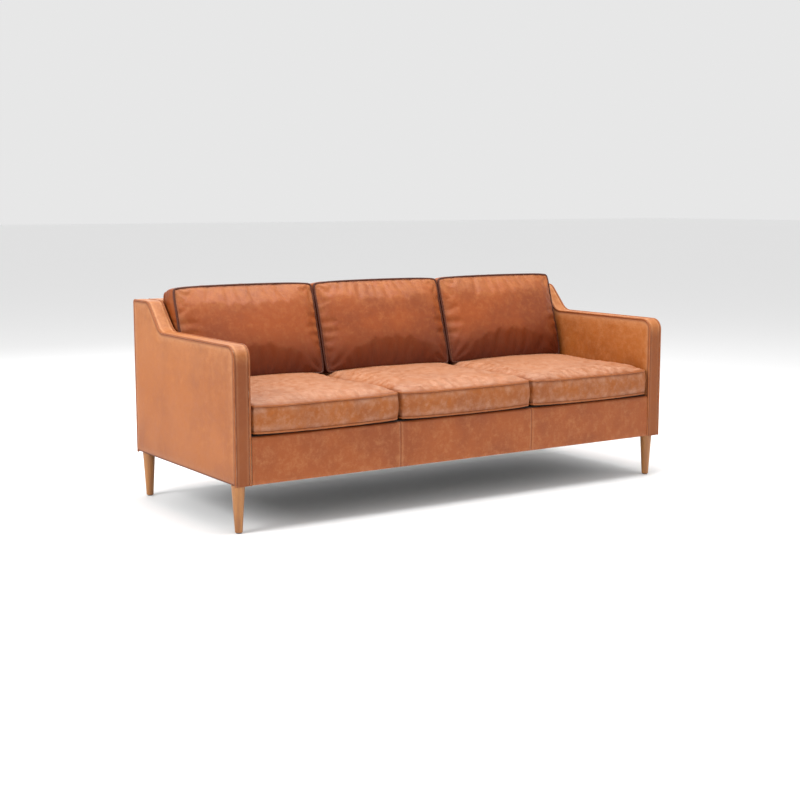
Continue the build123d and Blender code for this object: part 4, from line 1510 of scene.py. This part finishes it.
@dataclass
class BackCushion(Cushion):
    """A back cushion: s along X, t from its foot to its head, w from the rear panel to the front one."""

    foot_front: tuple[float, float] = (132 * MM, 487 * MM)
    head_front: tuple[float, float] = (240 * MM, 848 * MM)
    foot_back: tuple[float, float] = (283 * MM, 471 * MM)
    head_back: tuple[float, float] = (324 * MM, 829 * MM)
    crown: float = 42 * MM
    zip_x: float = 0.0

    def shape(self, at: Array) -> Array:
        """Back form: four side points blended in t and w, a front panel that crowns and sinks low.

        Front swell = crown x ((1 - s^2)(1 - t^2))^0.5, heavier below the middle; folds run in from
        the lower corners as ridges that fade over 90 mm.

        Args:
            at: (n, 3) lattice coordinates.

        Returns:
            (n, 3) positions.
        """
        s, t, w = at.T
        k = 0.30 * self.corner / self.half_x
        cut = 1 - k * (s * t) ** 8
        side_pull = self.pull * 1.3
        a = (self.half_x - self.welt * 0.4) * s * cut - side_pull * np.sign(s) * np.abs(s) ** 3 * (1 - t**2)
        up = 0.5 + 0.5 * t * cut
        ahead = 0.5 + 0.5 * w
        corners = [np.array(p) for p in (self.foot_front, self.head_front, self.foot_back, self.head_back)]
        front = corners[0] + up[:, None] * (corners[1] - corners[0])
        back = corners[2] + up[:, None] * (corners[3] - corners[2])
        yz = back + ahead[:, None] * (front - back)
        rise = corners[1] - corners[0]
        rise /= np.linalg.norm(rise)
        out = np.array([-rise[1], rise[0]])
        low_belly = 1.0 + 0.22 * (-t) * (1 - t**2)
        dome = np.clip((1 - s**2) * (1 - t**2), 0, 1) ** 0.5
        yz = yz + out * (self.crown * dome * low_belly * (w > 0.999))[:, None]
        rim_t = np.abs(t) ** 24
        belly = 1 - w**2
        yz = yz + rise * (np.sign(t) * rim_t * belly * np.where(t > 0, 5 * MM, 1 * MM))[:, None]
        a = a + np.sign(s) * np.abs(s) ** 24 * belly * 1.6 * MM
        crest = 4 * MM * (1 - s**2) * rim_t * (t > 0)
        yz = yz + rise * crest[:, None]
        tuck = smooth(0.55, 1.0, np.abs(s)) * smooth(0.5, 1.0, -t)
        yz = yz + rise * (2 * MM * tuck)[:, None]
        a = a - np.sign(s) * 3 * MM * tuck
        foot = smooth(0.2, 1.0, -t) * np.abs(s) ** 3
        yz = yz - np.array([0, 1.0]) * (9 * MM * foot)[:, None]
        flat = np.stack([self.centre_x + a, yz[:, 0], yz[:, 1]], axis=1)
        ridge = self.folds(s, t) * (w > 0.999)
        flat[:, 1:] += out * ridge[:, None]
        return flat

    def folds(self, s: Array, t: Array) -> Array:
        """Creases of the front panel: fans from the lower corners and short puckers up the sides.

        Args:
            s: along X, -1 to 1.
            t: foot to head, -1 to 1.

        Returns:
            Height off the panel in metres.
        """
        rng = np.random.default_rng(self.seed)
        total = np.zeros_like(s)
        for sign in (-1, 1):
            ds, dt = (1 - sign * s) * 0.317, (1 + t) * 0.19
            reach = np.hypot(ds, dt)
            angle = np.arctan2(dt, ds)
            fan = np.cos(angle * rng.uniform(9, 13) + rng.uniform(0, 6.28))
            near = np.exp(-((reach - 0.07) ** 2) / 0.006) * smooth(0, 0.03, np.minimum(ds, dt))
            total += fan * 4.2 * MM * near
            wave = np.sin(dt * rng.uniform(120, 160) + rng.uniform(0, 6.28) + 2.0 * ds / 0.1)
            middle = np.exp(-((t - rng.uniform(-0.2, 0.25)) ** 2) / 0.16)
            total += wave * 2.4 * MM * np.exp(-ds / 0.045) * smooth(0, 0.012, ds) * middle
            high = np.hypot(ds, (1 - t) * 0.19)
            fan = np.cos(np.arctan2((1 - t) * 0.19, ds) * 10 + rng.uniform(0, 6))
            total += fan * 1.8 * MM * np.exp(-((high - 0.06) ** 2) / 0.003)
        return total

    def limits(self) -> tuple[Array, Array]:
        """Sides just short of the neighbours; the rear panel is flat by its own formula."""
        room = self.half_x + 1.2 * MM
        low = np.array([self.centre_x - room, 70 * MM, 460 * MM])
        high = np.array([self.centre_x + room, 330 * MM, 872 * MM])
        return low, high

    def cap(self) -> float:
        """How far the cloth may move from the drawn shape."""
        return 14 * MM

    def marks(self, at: Array, points: Array) -> dict[str, Array]:
        """As on any cushion, with the lower part darkened as painted shade where it meets the seat, and the
        upper front panel lightened as painted sheen.

        Args:
            at: lattice coordinates.
            points: positions.

        Returns:
            Attribute name to one number per point.
        """
        marks = super().marks(at, points)
        # lower part darkened: painted shade where the cushion meets the seat
        low = smooth(-0.1, 1.0, -at[:, 1]) * 0.85
        marks["tone_and_shade"] = np.clip(marks["tone_and_shade"] + low, 0, 1)
        # upper front panel lightened: painted sheen
        painted_sheen_top = 0.35 * smooth(0.2, 0.9, at[:, 1]) * (at[:, 2] > 0.9)
        marks["rub_and_sheen"] = np.clip(marks["rub_and_sheen"] * (1 - low) + painted_sheen_top, 0, 1)
        return marks

    def cells(self) -> tuple[int, int, int]:
        """Lattice cells along s, t and w."""
        return (72, 46, 12)

    def facing(self) -> Array:
        """The direction that the front panel faces."""
        return np.array([0, -0.956, 0.292])

    def welt_rows(self, finishes: Finishes) -> list[tuple[str, float, bpy.types.Material]]:
        """Name, seam and material of each welt; the front one is painted dark as the shade along that seam.
        """
        return [("rear", -1.0, finishes.back), ("front", 1.0, finishes.shade_welt)]

    def zip_plane(self) -> tuple[Array, Array, Array]:
        """The zip along the foot boxing, whose face looks down."""
        front, back = np.array(self.foot_front), np.array(self.foot_back)
        along = (back - front) / np.linalg.norm(back - front)
        middle = (front + back) / 2
        across = np.array([0, *along])
        out = np.array([0, along[1], -along[0]])
        return np.array([self.zip_x, *middle]), across, out


# ------------------------------------------------------------------ CAD pieces and stage


@dataclass
class Hardware:
    """The CAD nodes that keep their shape and get their finish here."""

    nodes: dict[str, bpy.types.Object]

    def finish_of(self, name: str, finishes: Finishes) -> bpy.types.Material:
        """The material of one CAD node, from its name.

        Args:
            name: the node's name.
            finishes: the materials.

        Returns:
            The material.
        """
        rules = (
            ("_leg", finishes.leg),
            ("zip_slider", finishes.zip),
            ("leg_glides", finishes.glide),
            ("springs", finishes.wire),
            ("tie_wires", finishes.wire),
            ("clips", finishes.plated),
            ("bolts", finishes.plated),
            ("nuts", finishes.plated),
            ("webbing", finishes.webbing),
            ("seat_deck", finishes.decking),
            ("dust_cover", finishes.dust),
            ("_core", finishes.foam),
            ("_padding", finishes.foam),
            ("_insert", finishes.filling),
            ("posts", finishes.post),
            ("uprights", finishes.post),
            ("cover", finishes.seat),
            ("panel", finishes.body),
            ("boxing", finishes.body),
            ("welt", finishes.welt),
        )
        for word, material in rules:
            if name.endswith(word) or (word in name and not name.endswith("glides")):
                return material
        return finishes.frame

    def build(self, finishes: Finishes) -> list[bpy.types.Object]:
        """Dresses every CAD node.

        Args:
            finishes: the materials.

        Returns:
            The nodes' objects.
        """
        for name, node in self.nodes.items():
            material = self.finish_of(name, finishes)
            node.data.materials.clear()
            node.data.materials.append(material)
        return list(self.nodes.values())


@dataclass
class Studio:
    """Floor, lights, sky and camera."""

    camera_at: tuple[float, float, float] = (-3.238, -4.811, 1.193)
    aim: tuple[float, float, float] = (-0.035, 0.0, 0.362)
    lens: float = 62.87

    def build(self) -> None:
        """Makes the stage."""
        self.floor()
        self.light("key_softbox", (-4.6, -0.6, 3.2), (0, 0, 0.4), 2.4, 140)
        self.light("top_softbox", (0.2, -0.3, 4.2), (0, 0, 0.4), 2.6, 170)
        self.light("fill_softbox", (3.6, -4.6, 2.4), (0, 0, 0.5), 3.0, 30)
        self.light("rear_softbox", (0.6, 4.4, 3.2), (0, 0, 0.5), 3.0, 40)
        world = bpy.data.worlds.new("studio_air")
        world.use_nodes = True
        air = world.node_tree.nodes["Background"]
        air.inputs["Color"].default_value = (1, 1, 1, 1)
        air.inputs["Strength"].default_value = 0.80
        bpy.context.scene.world = world
        lens = bpy.data.cameras.new("viewpoint")
        lens.lens, lens.sensor_width = self.lens, 36.0
        holder = bpy.data.objects.new("viewpoint", lens)
        bpy.context.scene.collection.objects.link(holder)
        holder.location = self.camera_at
        holder.rotation_euler = self.turned(self.camera_at, self.aim)
        bpy.context.scene.camera = holder
        bpy.context.scene.view_settings.view_transform = "Standard"

    @staticmethod
    def turned(
        start: tuple[float, float, float], end: tuple[float, float, float]
    ) -> tuple[float, float, float]:
        """The rotation that points -Z from start to end with Y up.

        Args:
            start: where the object stands.
            end: what it looks at.

        Returns:
            Euler angles.
        """
        away = np.subtract(end, start)
        flat = math.hypot(away[0], away[1])
        return math.atan2(flat, -away[2]), 0.0, math.atan2(-away[0], away[1])

    def light(
        self,
        name: str,
        at: tuple[float, float, float],
        aim: tuple[float, float, float],
        size: float,
        power: float,
    ) -> None:
        """One square soft light.

        Args:
            name: its name.
            at: where it hangs.
            aim: what it lights.
            size: its side in metres.
            power: its power in watts.
        """
        lamp = bpy.data.lights.new(name, "AREA")
        lamp.size, lamp.energy = size, power
        holder = bpy.data.objects.new(name, lamp)
        bpy.context.scene.collection.objects.link(holder)
        holder.location = at
        holder.rotation_euler = self.turned(at, aim)

    @staticmethod
    def floor() -> None:
        """A wide, flat, pale floor."""
        steps = np.linspace(-60, 60, 9)
        xx, yy = np.meshgrid(steps, steps, indexing="ij")
        points = np.stack([xx, yy, np.full_like(xx, -0.0004)], axis=-1).reshape(-1, 3)
        made = make_mesh("floor", points, grid_faces(9, 9)[:, ::-1])
        material = bpy.data.materials.new("pale_floor")
        material.use_nodes = True
        shader = material.node_tree.nodes["Principled BSDF"]
        shader.inputs["Base Color"].default_value = (0.93, 0.93, 0.93, 1)
        shader.inputs["Roughness"].default_value = 0.85
        dress(made, material)


def main() -> None:
    """Builds the sofa's looks on its frame."""
    logging.basicConfig(level=logging.INFO, format="%(message)s")
    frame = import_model()
    finishes = Finishes()
    made: list[bpy.types.Object] = []
    Hardware(frame["nodes"]).build(finishes)
    made += Body().build(finishes)
    for side in Side:
        made += Arm(side).build(finishes)
    pitch = 638.75 * MM
    for number, part in enumerate(Part):
        x = (number - 1) * pitch
        # seat crowns lightened by 0.42: wear and painted sheen
        made += SeatCushion(part, x, kind="seat", fill=0.85, seed=101 + number, wear_and_sheen=0.42).build(finishes)
        back = BackCushion(
            part, x * 0.992, kind="back", fill=0.7, seed=201 + number, half_x=316 * MM, zip_x=x
        )
        made += back.build(finishes)
    for piece in made:
        LOG.info("%s: %d faces", piece.name, len(piece.data.polygons))
    Studio().build()


if __name__ == "__main__":
    main()
